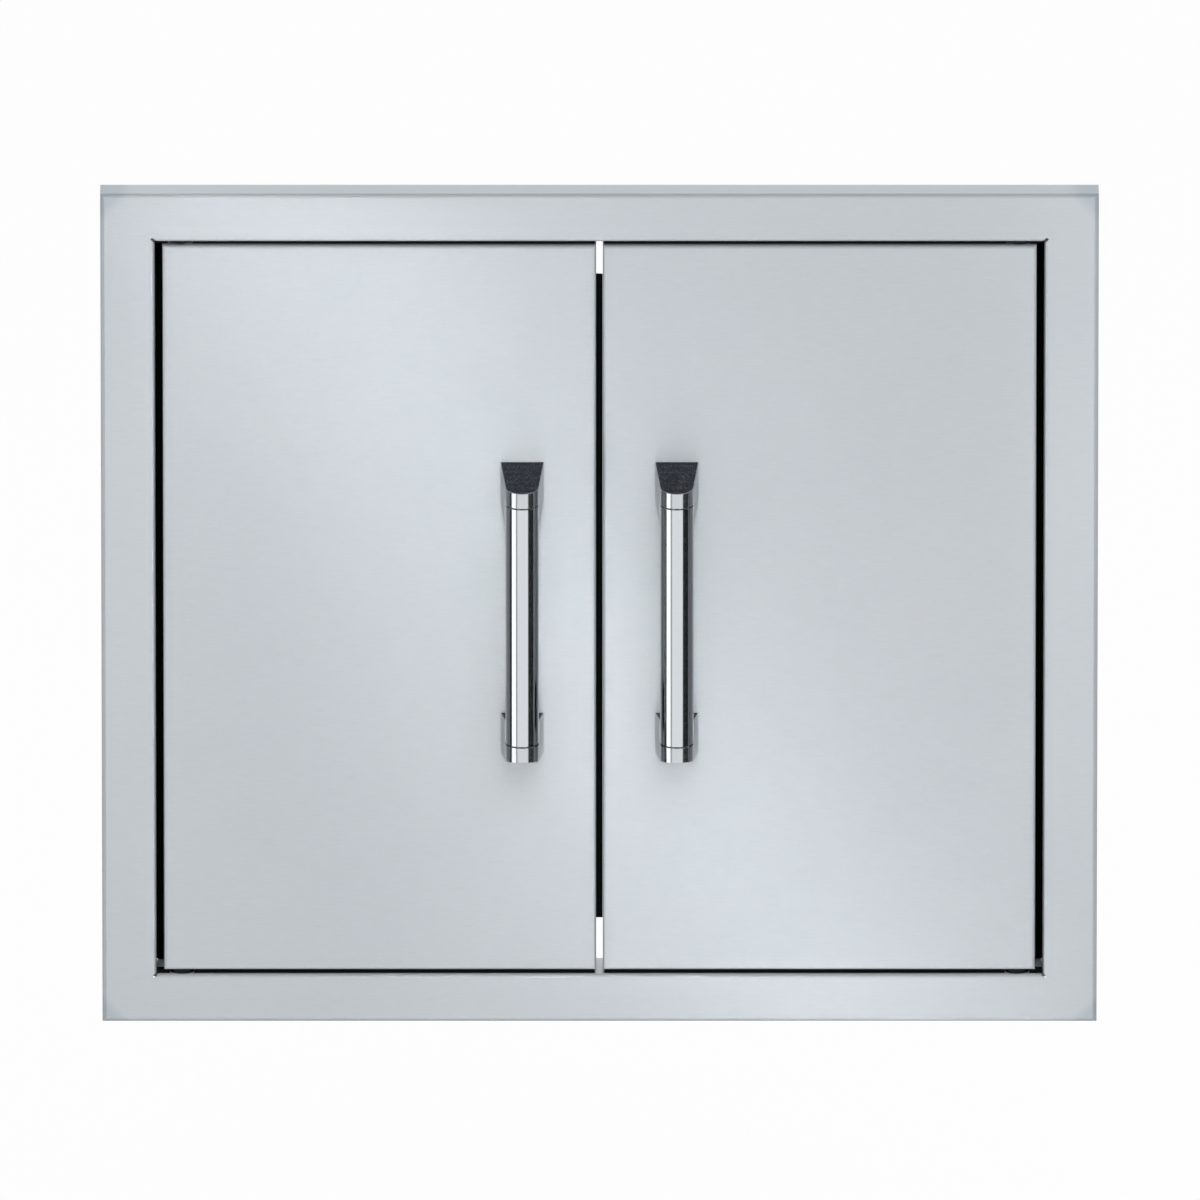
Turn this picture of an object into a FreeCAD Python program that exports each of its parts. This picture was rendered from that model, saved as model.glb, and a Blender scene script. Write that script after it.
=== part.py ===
import FreeCAD, Part
import math
import os
from FreeCAD import Vector

# Double access door for a built-in outdoor kitchen. Millimetres, X to the right, Y into the
# wall, Z up. The origin is the centre of the door opening, on the plane of the wall that the
# frame's rear lips bear on. Pieces of the doors are drawn for the right door and mirrored.

# Face frame, folded from one sheet, with a border round the opening
side_border = 35.95
level_border = 32.8
frame_sheet = 1.5
frame_bend = 2.8
stand_off = 25.4
wall_lip = 10.0
opening_width = 588.5
opening_height = 506.4
throat_depth = 38.0
jamb_flange = 16.0
corner_seam = 0.8
relief_width = 2.0
relief_reach = 3.2
wall_hole_r = 2.5
wall_hole_spacing = 360.0
wall_hole_depth = 31.4
cleat_jamb_leg = 20.0
cleat_level_leg = 38.0
cleat_sheet = 1.5
cleat_bend = 2.0
cleat_depth = 26.0

# Doors, each a folded pan closed at the rear by a joggled liner
hinge_gap = 5.0
meeting_gap = 4.5
top_gap = 3.0
bottom_gap = 3.4
door_depth = 25.0
door_sheet = 1.2
door_bend = 2.0
side_lip = 14.0
end_lip = 27.0
liner_sheet = 1.0
liner_tuck = 5.0
liner_gap = 0.5

# Meeting seal on the rear of the left door
seal_length = 445.0
seal_middle_z = 1.5
seal_base = 12.0
seal_thickness = 2.0
seal_fin_gap = 0.85
seal_tip_r = 0.5

# Pivots: a fixed pin below and a spring pin above
pivot_inset = 12.0
pivot_behind_face = 10.0
pin_r = 3.0
pin_running_gap = 0.05
pin_reach = 5.5
pin_chamfer = 0.6
pin_travel = 9.5
pin_tail = 4.5
bush_r = 5.5
bush_flange_r = 8.0
bush_flange = 1.4
bush_length = 6.0
washer_gap = 0.3
pin_plate_width = 20.0
pin_plate_sheet = 2.0
bracket_height = 36.5
bracket_width = 20.8
bracket_depth = 16.0
bracket_sheet = 1.5
bracket_bend = 2.5
collar_r = 5.0
collar_thickness = 2.5
spring_length = 23.5
spring_r = 4.3
spring_wire_r = 0.5
spring_turns = 7
lever_thickness = 2.0
lever_width = 8.0
lever_eye_r = 5.5
lever_reach = 9.4
lever_tab = 7.0
window_side_gap = 1.5
window_stop_gap = 0.2
window_foot_gap = 0.75

# Magnetic catches in the head and the sill, and their strike plates on the doors
catch_x = 45.0
catch_body_width = 32.0
catch_height = 15.0
catch_ear = 7.0
catch_ear_thickness = 3.0
catch_chamfer = 3.0
catch_gap = 0.3
catch_wall = 2.0
magnet_height = 5.0
magnet_depth = 7.0
pole_thickness = 1.0
magnet_height_above_seat = 9.0
catch_screw_r = 2.0
catch_screw_head_r = 3.4
catch_screw_head = 2.2
catch_screw_length = 8.0
strike_width = 40.0
strike_height = 14.0
strike_thickness = 1.5
strike_edge = 1.0
strike_corner_r = 2.0
strike_screw_r = 1.5
strike_screw_head_r = 2.8
strike_screw_length = 6.0
strike_screw_spacing = 28.0

# Handles: a tube between two cast posts
handle_x = 51.2
handle_z = 1.3
tube_r = 11.1
tube_wall = 1.5
tube_off = 39.4
joint_z = 82.3
joint_groove = 0.8
post_foot_half = 14.4
post_inward = 9.4
post_outward = 18.1
post_lean = 7.7
cradle_off = 36.0
spigot_length = 12.0
infill_side_rim = 0.45
infill_round_rim = 1.0
infill_foot = 0.6
infill_thickness = 2.1
infill_sunk = 0.3
peg_r = 2.4
peg_length = 4.0
handle_screw_r = 2.5
handle_screw_head_r = 4.5
handle_screw_head = 3.0
handle_screw_bite = 12.0
handle_washer_r = 6.0
handle_washer = 1.0
fit_gap = 0.05

# Places that follow from the sizes above
frame_width = opening_width + 2 * side_border
frame_height = opening_height + 2 * level_border
face_y = -stand_off
throat_rear = face_y + throat_depth
head_z = opening_height / 2
sill_z = -opening_height / 2
jamb_x = opening_width / 2
door_left = meeting_gap / 2
door_right = jamb_x - hinge_gap
door_top = head_z - top_gap
door_bottom = sill_z + bottom_gap
door_rear = face_y + door_depth
skin_inside = face_y + door_sheet
pivot_x = door_right - pivot_inset
pivot_y = face_y + pivot_behind_face
bracket_top = door_top - door_sheet
bracket_low = bracket_top - bracket_height
spring_seat = bracket_low + bracket_sheet
collar_low = spring_seat + spring_length
lever_low = collar_low + collar_thickness
lever_top = lever_low + lever_thickness
window_low = lever_low - pin_travel - window_foot_gap
window_top = lever_top + window_stop_gap
strike_face = door_rear + strike_thickness
catch_front = strike_face + catch_gap
magnet_width = catch_body_width - 2 * catch_wall
post_foot_inner = joint_z - post_inward
post_foot_outer = joint_z + post_outward


def box(x0, x1, y0, y1, z0, z1):
    """A block between two corners."""
    return Part.makeBox(x1 - x0, y1 - y0, z1 - z0, Vector(x0, y0, z0))


def rod(radius, start, end):
    """A round bar between two points."""
    run = Vector(*end) - Vector(*start)
    return Part.makeCylinder(radius, run.Length, Vector(*start), run)


def turned(profile, centre_x, centre_y):
    """A solid turned about a vertical axis, from (radius, z) points."""
    points = [Vector(centre_x + r, centre_y, z) for r, z in profile]
    outline = Part.makePolygon(points + points[:1])
    return Part.Face(outline).revolve(Vector(centre_x, centre_y, 0), Vector(0, 0, 1), 360)


def flipped(shape, z_centre=0.0):
    """The shape mirrored top to bottom about a level plane."""
    return shape.mirror(Vector(0, 0, z_centre), Vector(0, 0, 1))


def left_hand(shape):
    """The left door's copy of a piece of the right door."""
    return shape.mirror(Vector(0, 0, 0), Vector(1, 0, 0))


def headings(path):
    """Unit direction of each straight run of a flat path."""
    runs = [(u1 - u0, v1 - v0) for (u0, v0), (u1, v1) in zip(path, path[1:])]
    return [(du / math.hypot(du, dv), dv / math.hypot(du, dv)) for du, dv in runs]


def offset_path(path, distance):
    """The same path, moved to its left by the thickness of a sheet."""
    normals = [(-dv, du) for du, dv in headings(path)]
    normals = normals[:1] + normals + normals[-1:]
    moved = []
    for (u, v), n0, n1 in zip(path, normals, normals[1:]):
        share = distance / (1 + n0[0] * n1[0] + n0[1] * n1[1])
        moved.append((u + share * (n0[0] + n1[0]), v + share * (n0[1] + n1[1])))
    return moved


def rounded_path(path, radius, place):
    """Edges along a path whose corners are all rounded to one radius."""
    edges = []
    last = path[0]
    runs = headings(path)
    for (u, v), a, b in zip(path[1:-1], runs, runs[1:]):
        half_turn = math.acos(a[0] * b[0] + a[1] * b[1]) / 2
        tangent = radius * math.tan(half_turn)
        start = (u - tangent * a[0], v - tangent * a[1])
        end = (u + tangent * b[0], v + tangent * b[1])
        inward = radius * (1 / math.cos(half_turn) - 1) / math.hypot(b[0] - a[0], b[1] - a[1])
        middle = (u + inward * (b[0] - a[0]), v + inward * (b[1] - a[1]))
        edges.append(Part.makeLine(place(*last), place(*start)))
        edges.append(Part.Arc(place(*start), place(*middle), place(*end)).toShape())
        last = end
    edges.append(Part.makeLine(place(*last), place(*path[-1])))
    return edges


def folded_section(path, sheet, bend, place):
    """Section of a folded sheet. The path runs along its outer skin, the sheet on its left."""
    inner = offset_path(path, sheet)
    edges = rounded_path(path, bend, place)
    edges += rounded_path(inner[::-1], bend - sheet, place)
    edges.append(Part.makeLine(place(*path[-1]), place(*inner[-1])))
    edges.append(Part.makeLine(place(*inner[0]), place(*path[0])))
    return Part.Wire(Part.__sortEdges__(edges))


def folded_ring(path, sheet, bend, left, right, low, top):
    """A folded section carried round a rectangle with mitred corners.

    The path is in (distance in from the rectangle, y).
    """
    middle = (left + right) / 2
    section = folded_section(path, sheet, bend, lambda u, y: Vector(middle, y, low + u))
    corners = [(middle, low), (right, low), (right, top), (left, top), (left, low), (middle, low)]
    rectangle = Part.makePolygon([Vector(x, 0, z) for x, z in corners])
    return rectangle.makePipeShell([section], True, False, 1)


def at_each_corner():
    """Signs of x and z for the four corners of the opening."""
    return [(side, end) for side in (-1, 1) for end in (-1, 1)]


def corner_cut(side, end, width, reach, depth):
    """A slot along the diagonal of one corner of the opening, cut back from the face."""
    inward = 2 * frame_bend
    slot = box(-inward, reach, face_y - 1, face_y + depth, -width / 2, width / 2)
    slot.rotate(Vector(0, 0, 0), Vector(0, 1, 0), math.degrees(math.atan2(-end, side)))
    slot.translate(Vector(side * jamb_x, 0, end * head_z))
    return slot


def face_frame():
    """The frame: face, outer return with wall lip, throat, and stiffening flanges on the jambs."""
    face_leg = 2 * frame_bend
    half_width = frame_width / 2
    half_height = frame_height / 2
    outer_path = [(wall_lip, 0), (0, 0), (0, face_y), (face_leg, face_y)]
    outer = folded_ring(outer_path, frame_sheet, frame_bend,
                        -half_width, half_width, -half_height, half_height)
    straight_rear = throat_rear - 2 * frame_bend
    throat_path = [(-face_leg, face_y), (0, face_y), (0, straight_rear)]
    throat = folded_ring(throat_path, frame_sheet, frame_bend, -jamb_x, jamb_x, sill_z, head_z)

    face = box(frame_bend - half_width, half_width - frame_bend, face_y, face_y + frame_sheet,
               frame_bend - half_height, half_height - frame_bend)
    face = face.cut(box(-jamb_x - frame_bend, jamb_x + frame_bend, face_y - 1, 0,
                        sill_z - frame_bend, head_z + frame_bend))
    pieces = [outer, face]
    for end in (-1, 1):
        seat = [end * head_z, end * (head_z + frame_sheet)]
        pieces.append(box(-jamb_x, jamb_x, straight_rear, throat_rear, min(seat), max(seat)))
    for side in (-1, 1):
        flange_path = [(jamb_flange, throat_rear), (-frame_sheet, throat_rear),
                       (-frame_sheet, straight_rear)]
        section = folded_section(flange_path, frame_sheet, frame_bend,
                                 lambda u, y, s=side: Vector(s * (jamb_x - u), y, sill_z))
        pieces.append(Part.Face(section).extrude(Vector(0, 0, opening_height)))
    frame = throat.fuse(pieces).removeSplitter()

    cuts = []
    for side, end in at_each_corner():
        cuts.append(corner_cut(side, end, relief_width, relief_reach, 2 * frame_bend))
        cuts.append(corner_cut(side, end, corner_seam, relief_reach, throat_depth + 1))
        pivot = (side * pivot_x, pivot_y)
        cuts.append(rod(bush_r + fit_gap, (*pivot, end * (head_z - 1)), (*pivot, end * (head_z + 3))))
        wall_y = face_y + wall_hole_depth
        wall_z = end * wall_hole_spacing / 2
        cuts.append(rod(wall_hole_r, (side * (jamb_x - 1), wall_y, wall_z),
                        (side * (jamb_x + 3), wall_y, wall_z)))
        for x in catch_screw_places(side):
            y = catch_screw_y()
            cuts.append(rod(catch_screw_r + fit_gap, (x, y, end * (head_z - 1)),
                            (x, y, end * (head_z + 3))))
    return frame.cut(cuts)


def corner_cleat(side, end):
    """An angle welded behind one corner of the throat, over its seam and under the bush."""
    outer_x = jamb_x + frame_sheet + cleat_sheet
    outer_z = head_z + frame_sheet + cleat_sheet
    path = [(outer_x, outer_z - cleat_jamb_leg), (outer_x, outer_z),
            (outer_x - cleat_level_leg, outer_z)]
    front = face_y + (throat_depth - cleat_depth) / 2
    section = folded_section(path, cleat_sheet, cleat_bend,
                             lambda x, z: Vector(side * x, front, end * z))
    cleat = Part.Face(section).extrude(Vector(0, cleat_depth, 0))
    pivot = (side * pivot_x, pivot_y)
    return cleat.cut(rod(bush_r + fit_gap, (*pivot, end * (head_z - 1)),
                         (*pivot, end * (outer_z + 1))))


def pivot_bush():
    """The right sill's bush: a barrel through the sheet and a flange that carries the door."""
    bore = pin_r + pin_running_gap
    barrel_low = sill_z - bush_length
    profile = [(bore, barrel_low), (bush_r - pin_chamfer, barrel_low),
               (bush_r, barrel_low + pin_chamfer), (bush_r, sill_z), (bush_flange_r, sill_z),
               (bush_flange_r, sill_z + bush_flange), (bore, sill_z + bush_flange)]
    return turned(profile, pivot_x, pivot_y)


def door_skin():
    """The pan: face and four folded edges, with lips at the rear and a window for the lever."""
    path = [(side_lip, door_rear), (0, door_rear), (0, face_y), (2 * door_bend, face_y)]
    rim = folded_ring(path, door_sheet, door_bend, door_left, door_right, door_bottom, door_top)
    face = box(door_left + door_bend, door_right - door_bend, face_y, skin_inside,
               door_bottom + door_bend, door_top - door_bend)
    lip_left = door_left + door_bend
    lip_right = door_right - door_bend
    low_lip = box(lip_left, lip_right, door_rear - door_sheet, door_rear,
                  door_bottom + door_bend, door_bottom + end_lip)
    top_lip = box(lip_left, lip_right, door_rear - door_sheet, door_rear,
                  door_top - end_lip, door_top - door_bend)
    skin = rim.fuse([face, low_lip, top_lip]).removeSplitter()

    half_window = lever_width / 2 + window_side_gap
    cuts = [box(pivot_x - half_window, pivot_x + half_window, door_rear - door_bend,
                door_rear + 1, window_low, window_top)]
    hole = pin_r + pin_running_gap
    cuts.append(rod(hole, (pivot_x, pivot_y, door_bottom - 1),
                    (pivot_x, pivot_y, door_bottom + door_bend)))
    cuts.append(rod(hole, (pivot_x, pivot_y, door_top - door_bend),
                    (pivot_x, pivot_y, door_top + 1)))
    for z in handle_screw_heights():
        cuts.append(rod(handle_screw_r + fit_gap, (handle_x, face_y - 1, z),
                        (handle_x, skin_inside + 1, z)))
    for x, z in strike_screw_places():
        cuts.append(rod(strike_screw_r + fit_gap, (x, door_rear - door_bend, z),
                        (x, door_rear + 1, z)))
    return skin.cut(cuts)


def door_liner():
    """The inner sheet: a shallow tray flush with the lips, its border tucked behind them."""
    lip_inside = door_rear - door_sheet
    border = box(door_left + side_lip - liner_tuck, door_right - side_lip + liner_tuck,
                 lip_inside - liner_sheet, lip_inside,
                 door_bottom + end_lip - liner_tuck, door_top - end_lip + liner_tuck)
    tray_left = door_left + side_lip + liner_gap
    tray_right = door_right - side_lip - liner_gap
    tray_low = door_bottom + end_lip + liner_gap
    tray_top = door_top - end_lip - liner_gap
    tray = box(tray_left, tray_right, lip_inside - liner_sheet, door_rear, tray_low, tray_top)
    hollow = box(tray_left + liner_sheet, tray_right - liner_sheet,
                 lip_inside - 2 * liner_sheet, door_rear - liner_sheet,
                 tray_low + liner_sheet, tray_top - liner_sheet)
    return border.fuse(tray).removeSplitter().cut(hollow)


def meeting_seal():
    """The rubber strip on the left door's rear edge, with a fin across the meeting gap."""
    edge = -door_left
    tip = door_left - seal_fin_gap
    front = door_rear
    rear = door_rear + seal_thickness
    tip_rear = front + 2 * seal_tip_r
    low = seal_middle_z - seal_length / 2
    corners = [(tip - seal_tip_r, tip_rear), (edge, rear), (edge - seal_base, rear),
               (edge - seal_base, front), (tip - seal_tip_r, front)]
    flats = Part.makePolygon([Vector(x, y, low) for x, y in corners])
    nose = Part.Arc(Vector(tip - seal_tip_r, front, low),
                    Vector(tip, front + seal_tip_r, low),
                    Vector(tip - seal_tip_r, tip_rear, low)).toShape()
    section = Part.Face(Part.Wire(flats.Edges + [nose]))
    return section.extrude(Vector(0, 0, seal_length))


def lower_pin():
    """The fixed pivot: a pin on a plate that is welded inside the door's lower edge."""
    plate_low = door_bottom + door_sheet
    tip = sill_z - pin_reach
    profile = [(0, plate_low + pin_plate_sheet / 2), (pin_r, plate_low + pin_plate_sheet / 2),
               (pin_r, tip + pin_chamfer), (pin_r - pin_chamfer, tip), (0, tip)]
    half = pin_plate_width / 2
    plate = box(pivot_x - half, pivot_x + half, pivot_y - bracket_depth / 2,
                pivot_y + bracket_depth / 2, plate_low, plate_low + pin_plate_sheet)
    return plate.fuse(turned(profile, pivot_x, pivot_y)).removeSplitter()


def thrust_washer():
    """The washer on the lower pin, between the door and the flange of the sill's bush."""
    low = sill_z + bush_flange + washer_gap
    bore = pin_r + pin_running_gap
    profile = [(bore, low), (bush_flange_r, low), (bush_flange_r, door_bottom), (bore, door_bottom)]
    return turned(profile, pivot_x, pivot_y)


def pin_bracket():
    """The channel in the door's upper corner whose two legs guide the spring pin."""
    web = door_right - door_sheet
    tip = web - bracket_width
    path = [(tip, bracket_low), (web, bracket_low), (web, bracket_top), (tip, bracket_top)]
    front = pivot_y - bracket_depth / 2
    section = folded_section(path, bracket_sheet, bracket_bend,
                             lambda x, z: Vector(x, front, z))
    channel = Part.Face(section).extrude(Vector(0, bracket_depth, 0))
    bore = rod(pin_r + pin_running_gap, (pivot_x, pivot_y, bracket_low - 1),
               (pivot_x, pivot_y, bracket_top + 1))
    return channel.cut(bore)


def spring_pin():
    """The upper pivot: a pin with a turned collar that the spring lifts."""
    tip = head_z + pin_reach
    tail = bracket_low - pin_tail
    narrow = pin_r - pin_chamfer
    profile = [(0, tail), (narrow, tail), (pin_r, tail + pin_chamfer), (pin_r, collar_low),
               (collar_r, collar_low), (collar_r, lever_low), (pin_r, lever_low),
               (pin_r, tip - pin_chamfer), (narrow, tip), (0, tip)]
    return turned(profile, pivot_x, pivot_y)


def release_lever():
    """The lever pressed on the pin above its collar, out through the window, with a finger tab."""
    tab_y = pivot_y + bush_flange_r
    eye = rod(lever_eye_r, (pivot_x, pivot_y, lever_low), (pivot_x, pivot_y, lever_top))
    half = lever_width / 2
    end_y = door_rear + lever_reach
    arm = box(pivot_x - half, pivot_x + half, pivot_y, end_y, lever_low, lever_top)
    tab = box(pivot_x - half, pivot_x + half, end_y - lever_thickness, end_y,
              lever_top - lever_tab, lever_top)
    lever = eye.fuse([arm, tab]).removeSplitter()
    return lever.cut(rod(pin_r + fit_gap, (pivot_x, pivot_y, lever_low - 1),
                         (pivot_x, pivot_y, lever_top + 1)))


def arc_from(start, heading, end):
    """The arc that leaves a point along a heading and reaches another point, and its far heading."""
    chord = end - start
    along = Vector(chord).normalize()
    rise = heading - along * heading.dot(along)
    angle = math.acos(min(1.0, heading.dot(along)))
    middle = (start + end) / 2 + Vector(rise).normalize() * (chord.Length / 2 * math.tan(angle / 2))
    far_heading = along * (2 * heading.dot(along)) - heading
    return Part.Arc(start, middle, end).toShape(), far_heading


def pin_spring():
    """The coil spring between the bracket's lower leg and the collar, one unbroken wire."""
    low = spring_seat + spring_wire_r + fit_gap
    top = collar_low - spring_wire_r - fit_gap
    pitch = (top - low) / spring_turns
    quarters = 4 * spring_turns
    points = []
    headings_there = []
    for step in range(quarters + 1):
        angle = math.pi / 2 * step
        points.append(Vector(pivot_x + spring_r * math.cos(angle),
                             pivot_y + spring_r * math.sin(angle), low + pitch * step / 4))
        heading = Vector(-math.sin(angle), math.cos(angle), pitch / (2 * math.pi * spring_r))
        headings_there.append(heading.normalize())
    edges = []
    for p0, p1, t0, t1 in zip(points, points[1:], headings_there, headings_there[1:]):
        span = p1 - p0
        both = t0 + t1
        spread = 2 * (1 - t0.dot(t1))
        reach = (math.sqrt(span.dot(both) ** 2 + spread * span.dot(span)) - span.dot(both)) / spread
        joint = (p0 + p1 + (t0 - t1) * reach) / 2
        first, heading = arc_from(p0, t0, joint)
        second, _ = arc_from(joint, heading, p1)
        edges += [first, second]
    wire = Part.Wire(edges)
    section = Part.Wire(Part.Circle(points[0], headings_there[0], spring_wire_r).toShape())
    spring = wire.makePipeShell([section], True, False)
    turn_gap = min((points[i + 4] - points[i]).Length for i in range(quarters - 3))
    print("pin spring: gap between turns", round(turn_gap - 2 * spring_wire_r, 2))
    expected = wire.Length * math.pi * spring_wire_r ** 2
    print("pin spring: volume", round(spring.Volume, 2), "expected", round(expected, 2))
    return spring


def catch_screw_places(side):
    """Where the two screws of a catch stand along X."""
    half = (catch_body_width + catch_ear) / 2
    return [side * (catch_x - half), side * (catch_x + half)]


def catch_screw_y():
    """Depth of a catch's screws: the middle of its ears."""
    return (catch_front + throat_rear) / 2


def catch_housing():
    """The right sill catch: a moulded body with a pocket for the magnet and two screwed ears."""
    half = catch_body_width / 2
    body = box(catch_x - half, catch_x + half, catch_front, throat_rear,
               sill_z, sill_z + catch_height)
    rear_edges = [e for e in body.Edges if edge_is_at(e, throat_rear, sill_z + catch_height)]
    body = body.makeChamfer(catch_chamfer, rear_edges)
    ears = box(catch_x - half - catch_ear, catch_x + half + catch_ear, catch_front, throat_rear,
               sill_z, sill_z + catch_ear_thickness)
    ear_corners = [e for e in ears.Edges if abs(e.tangentAt(e.FirstParameter).z) > 0.9]
    ears = ears.makeFillet(catch_ear / 2, ear_corners)
    magnet_z = sill_z + magnet_height_above_seat
    half_pocket = magnet_height / 2 + pole_thickness + fit_gap
    pocket = box(catch_x - magnet_width / 2 - fit_gap, catch_x + magnet_width / 2 + fit_gap,
                 catch_front - 1, catch_front + magnet_depth + fit_gap,
                 magnet_z - half_pocket, magnet_z + half_pocket)
    cuts = [pocket]
    for x in catch_screw_places(1):
        cuts.append(rod(catch_screw_r + fit_gap, (x, catch_screw_y(), sill_z - 1),
                        (x, catch_screw_y(), sill_z + catch_height)))
    return body.fuse(ears).removeSplitter().cut(cuts)


def edge_is_at(edge, y, z):
    """Whether an edge lies along X at this y and z."""
    ends = [v.Point for v in edge.Vertexes]
    return all(abs(p.y - y) < 0.01 and abs(p.z - z) < 0.01 for p in ends)


def catch_magnet():
    """The right sill catch's magnet, a block between its two pole plates."""
    magnet_z = sill_z + magnet_height_above_seat
    return box(catch_x - magnet_width / 2, catch_x + magnet_width / 2,
               catch_front + pole_thickness, catch_front + magnet_depth,
               magnet_z - magnet_height / 2, magnet_z + magnet_height / 2)


def catch_poles():
    """The right sill catch's pole plates, which reach the front and meet the strike."""
    magnet_z = sill_z + magnet_height_above_seat
    lower = box(catch_x - magnet_width / 2, catch_x + magnet_width / 2,
                catch_front, catch_front + magnet_depth,
                magnet_z - magnet_height / 2 - pole_thickness, magnet_z - magnet_height / 2)
    upper = lower.copy()
    upper.translate(Vector(0, 0, magnet_height + pole_thickness))
    return [lower, upper]


def pan_screw(radius, head_r, head, length):
    """A domed screw standing on the origin, its shank down."""
    shank = Part.makeCylinder(radius, length, Vector(0, 0, -length))
    dome = Part.makeCylinder(head_r, head)
    dome = dome.makeFillet(head * 0.6, [dome.Edges[0]])
    socket = Part.makeCylinder(head_r * 0.4, head * 0.6, Vector(0, 0, head * 0.5))
    return shank.fuse(dome).cut(socket)


def catch_screws():
    """All eight screws that hold the catches to the head and the sill."""
    screws = []
    for side, end in at_each_corner():
        for x in catch_screw_places(side):
            screw = pan_screw(catch_screw_r, catch_screw_head_r, catch_screw_head,
                              catch_screw_length)
            screw.translate(Vector(x, catch_screw_y(), sill_z + catch_ear_thickness))
            screws.append(flipped(screw) if end > 0 else screw)
    return screws


def strike_heights():
    """Heights of the middles of a door's two strike plates."""
    inset = strike_edge + strike_height / 2
    return [door_bottom + inset, door_top - inset]


def strike_screw_places():
    """Where a door's four strike screws stand."""
    half = strike_screw_spacing / 2
    return [(catch_x + s * half, z) for z in strike_heights() for s in (-1, 1)]


def countersink(radius, head_r, depth, x, y, z):
    """The cone of a countersunk head whose flat face lies at y, pointing out of the rear."""
    return Part.makeCone(head_r, radius, depth, Vector(x, y, z), Vector(0, -1, 0))


def strike_plate(z):
    """A steel plate on the door's rear lip that the magnets draw to."""
    plate = box(catch_x - strike_width / 2, catch_x + strike_width / 2, door_rear, strike_face,
                z - strike_height / 2, z + strike_height / 2)
    corners = [e for e in plate.Edges if abs(e.tangentAt(e.FirstParameter).y) > 0.9]
    plate = plate.makeFillet(strike_corner_r, corners)
    for x, screw_z in strike_screw_places():
        if abs(screw_z - z) < strike_height:
            plate = plate.cut(countersink(strike_screw_r + fit_gap, strike_screw_head_r + fit_gap,
                                          strike_thickness, x, strike_face, screw_z))
    return plate


def strike_screws():
    """The four countersunk screws of one door's strikes."""
    screws = []
    for x, z in strike_screw_places():
        head = countersink(strike_screw_r, strike_screw_head_r, strike_thickness,
                           x, strike_face, z)
        shank = rod(strike_screw_r, (x, door_rear, z), (x, strike_face - strike_screw_length, z))
        screws.append(head.fuse(shank))
    return screws


def handle_screw_heights():
    """Heights of the screws in the middles of the two feet of a handle."""
    middle = (post_foot_inner + post_foot_outer) / 2
    return [handle_z - middle, handle_z + middle]


def handle_tube():
    """The grip: a drawn tube whose ends meet the collars of the posts across a fine groove."""
    half = joint_z - joint_groove / 2
    y = face_y - tube_off
    low = (handle_x, y, handle_z - half)
    top = (handle_x, y, handle_z + half)
    tube = rod(tube_r, low, top)
    tube = tube.makeChamfer(joint_groove / 4, [e for e in tube.Edges if e.Length > tube_r * 6])
    return tube.cut(rod(tube_r - tube_wall, low, top))


def post_section(side_inset, round_inset, foot):
    """Plan of a post: a foot at the door, straight sides, and a round tangent to them.

    Drawn in (x from the handle's middle, distance off the door), inset by a rim that may be
    thinner along the sides than round the front.
    """
    lean = math.atan2(post_foot_half, tube_off) - math.asin(
        tube_r / math.hypot(post_foot_half, tube_off))
    radius = tube_r - side_inset
    half_foot = ((tube_off - foot) * math.sin(lean) + radius) / math.cos(lean)
    side = (radius * math.cos(lean), tube_off + radius * math.sin(lean))

    def place(x, off):
        return Vector(handle_x + x, face_y - off, handle_z)

    front = tube_off + tube_r - round_inset
    round_front = Part.Arc(place(*side), place(0, front), place(-side[0], side[1]))
    flats = Part.makePolygon([place(-side[0], side[1]), place(-half_foot, foot),
                              place(half_foot, foot), place(*side)])
    return Part.Face(Part.Wire(flats.Edges + [round_front.toShape()]))


def leaning_block(outline):
    """A block as wide as a post, from an outline in (distance off the door, height)."""
    points = [Vector(handle_x - 2 * post_foot_half, face_y - off, handle_z + z)
              for off, z in outline]
    face = Part.Face(Part.makePolygon(points + points[:1]))
    return face.extrude(Vector(4 * post_foot_half, 0, 0))


def leaning_slab(foot_z, thickness):
    """A slab that leans as the post's ends do, from foot_z at the door up by a thickness."""
    reach = tube_off + 2 * tube_r
    drop = post_lean * reach / (tube_off + tube_r)
    return leaning_block([(0, foot_z), (reach, foot_z - drop),
                          (reach, foot_z - drop + thickness), (0, foot_z + thickness)])


def section_column(side_inset, round_inset, foot):
    """A post's plan carried up past both its ends."""
    plan = post_section(side_inset, round_inset, foot)
    return plan.extrude(Vector(0, 0, 2 * post_foot_outer))


def pocket_column(clearance):
    """The room within a post's rim, or with a clearance the plan of what fills it."""
    return section_column(infill_side_rim + clearance, infill_round_rim + clearance,
                          infill_foot + clearance)


def tube_space(clearance):
    """The room that the tube takes in a post, up to the collar."""
    axis_y = face_y - tube_off
    return rod(tube_r + clearance, (handle_x, axis_y, handle_z),
               (handle_x, axis_y, handle_z + joint_z + joint_groove / 2))


def cap_middle():
    """A point on the axis of the peg that holds an end cap."""
    return (handle_x, face_y - tube_off / 2)


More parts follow.
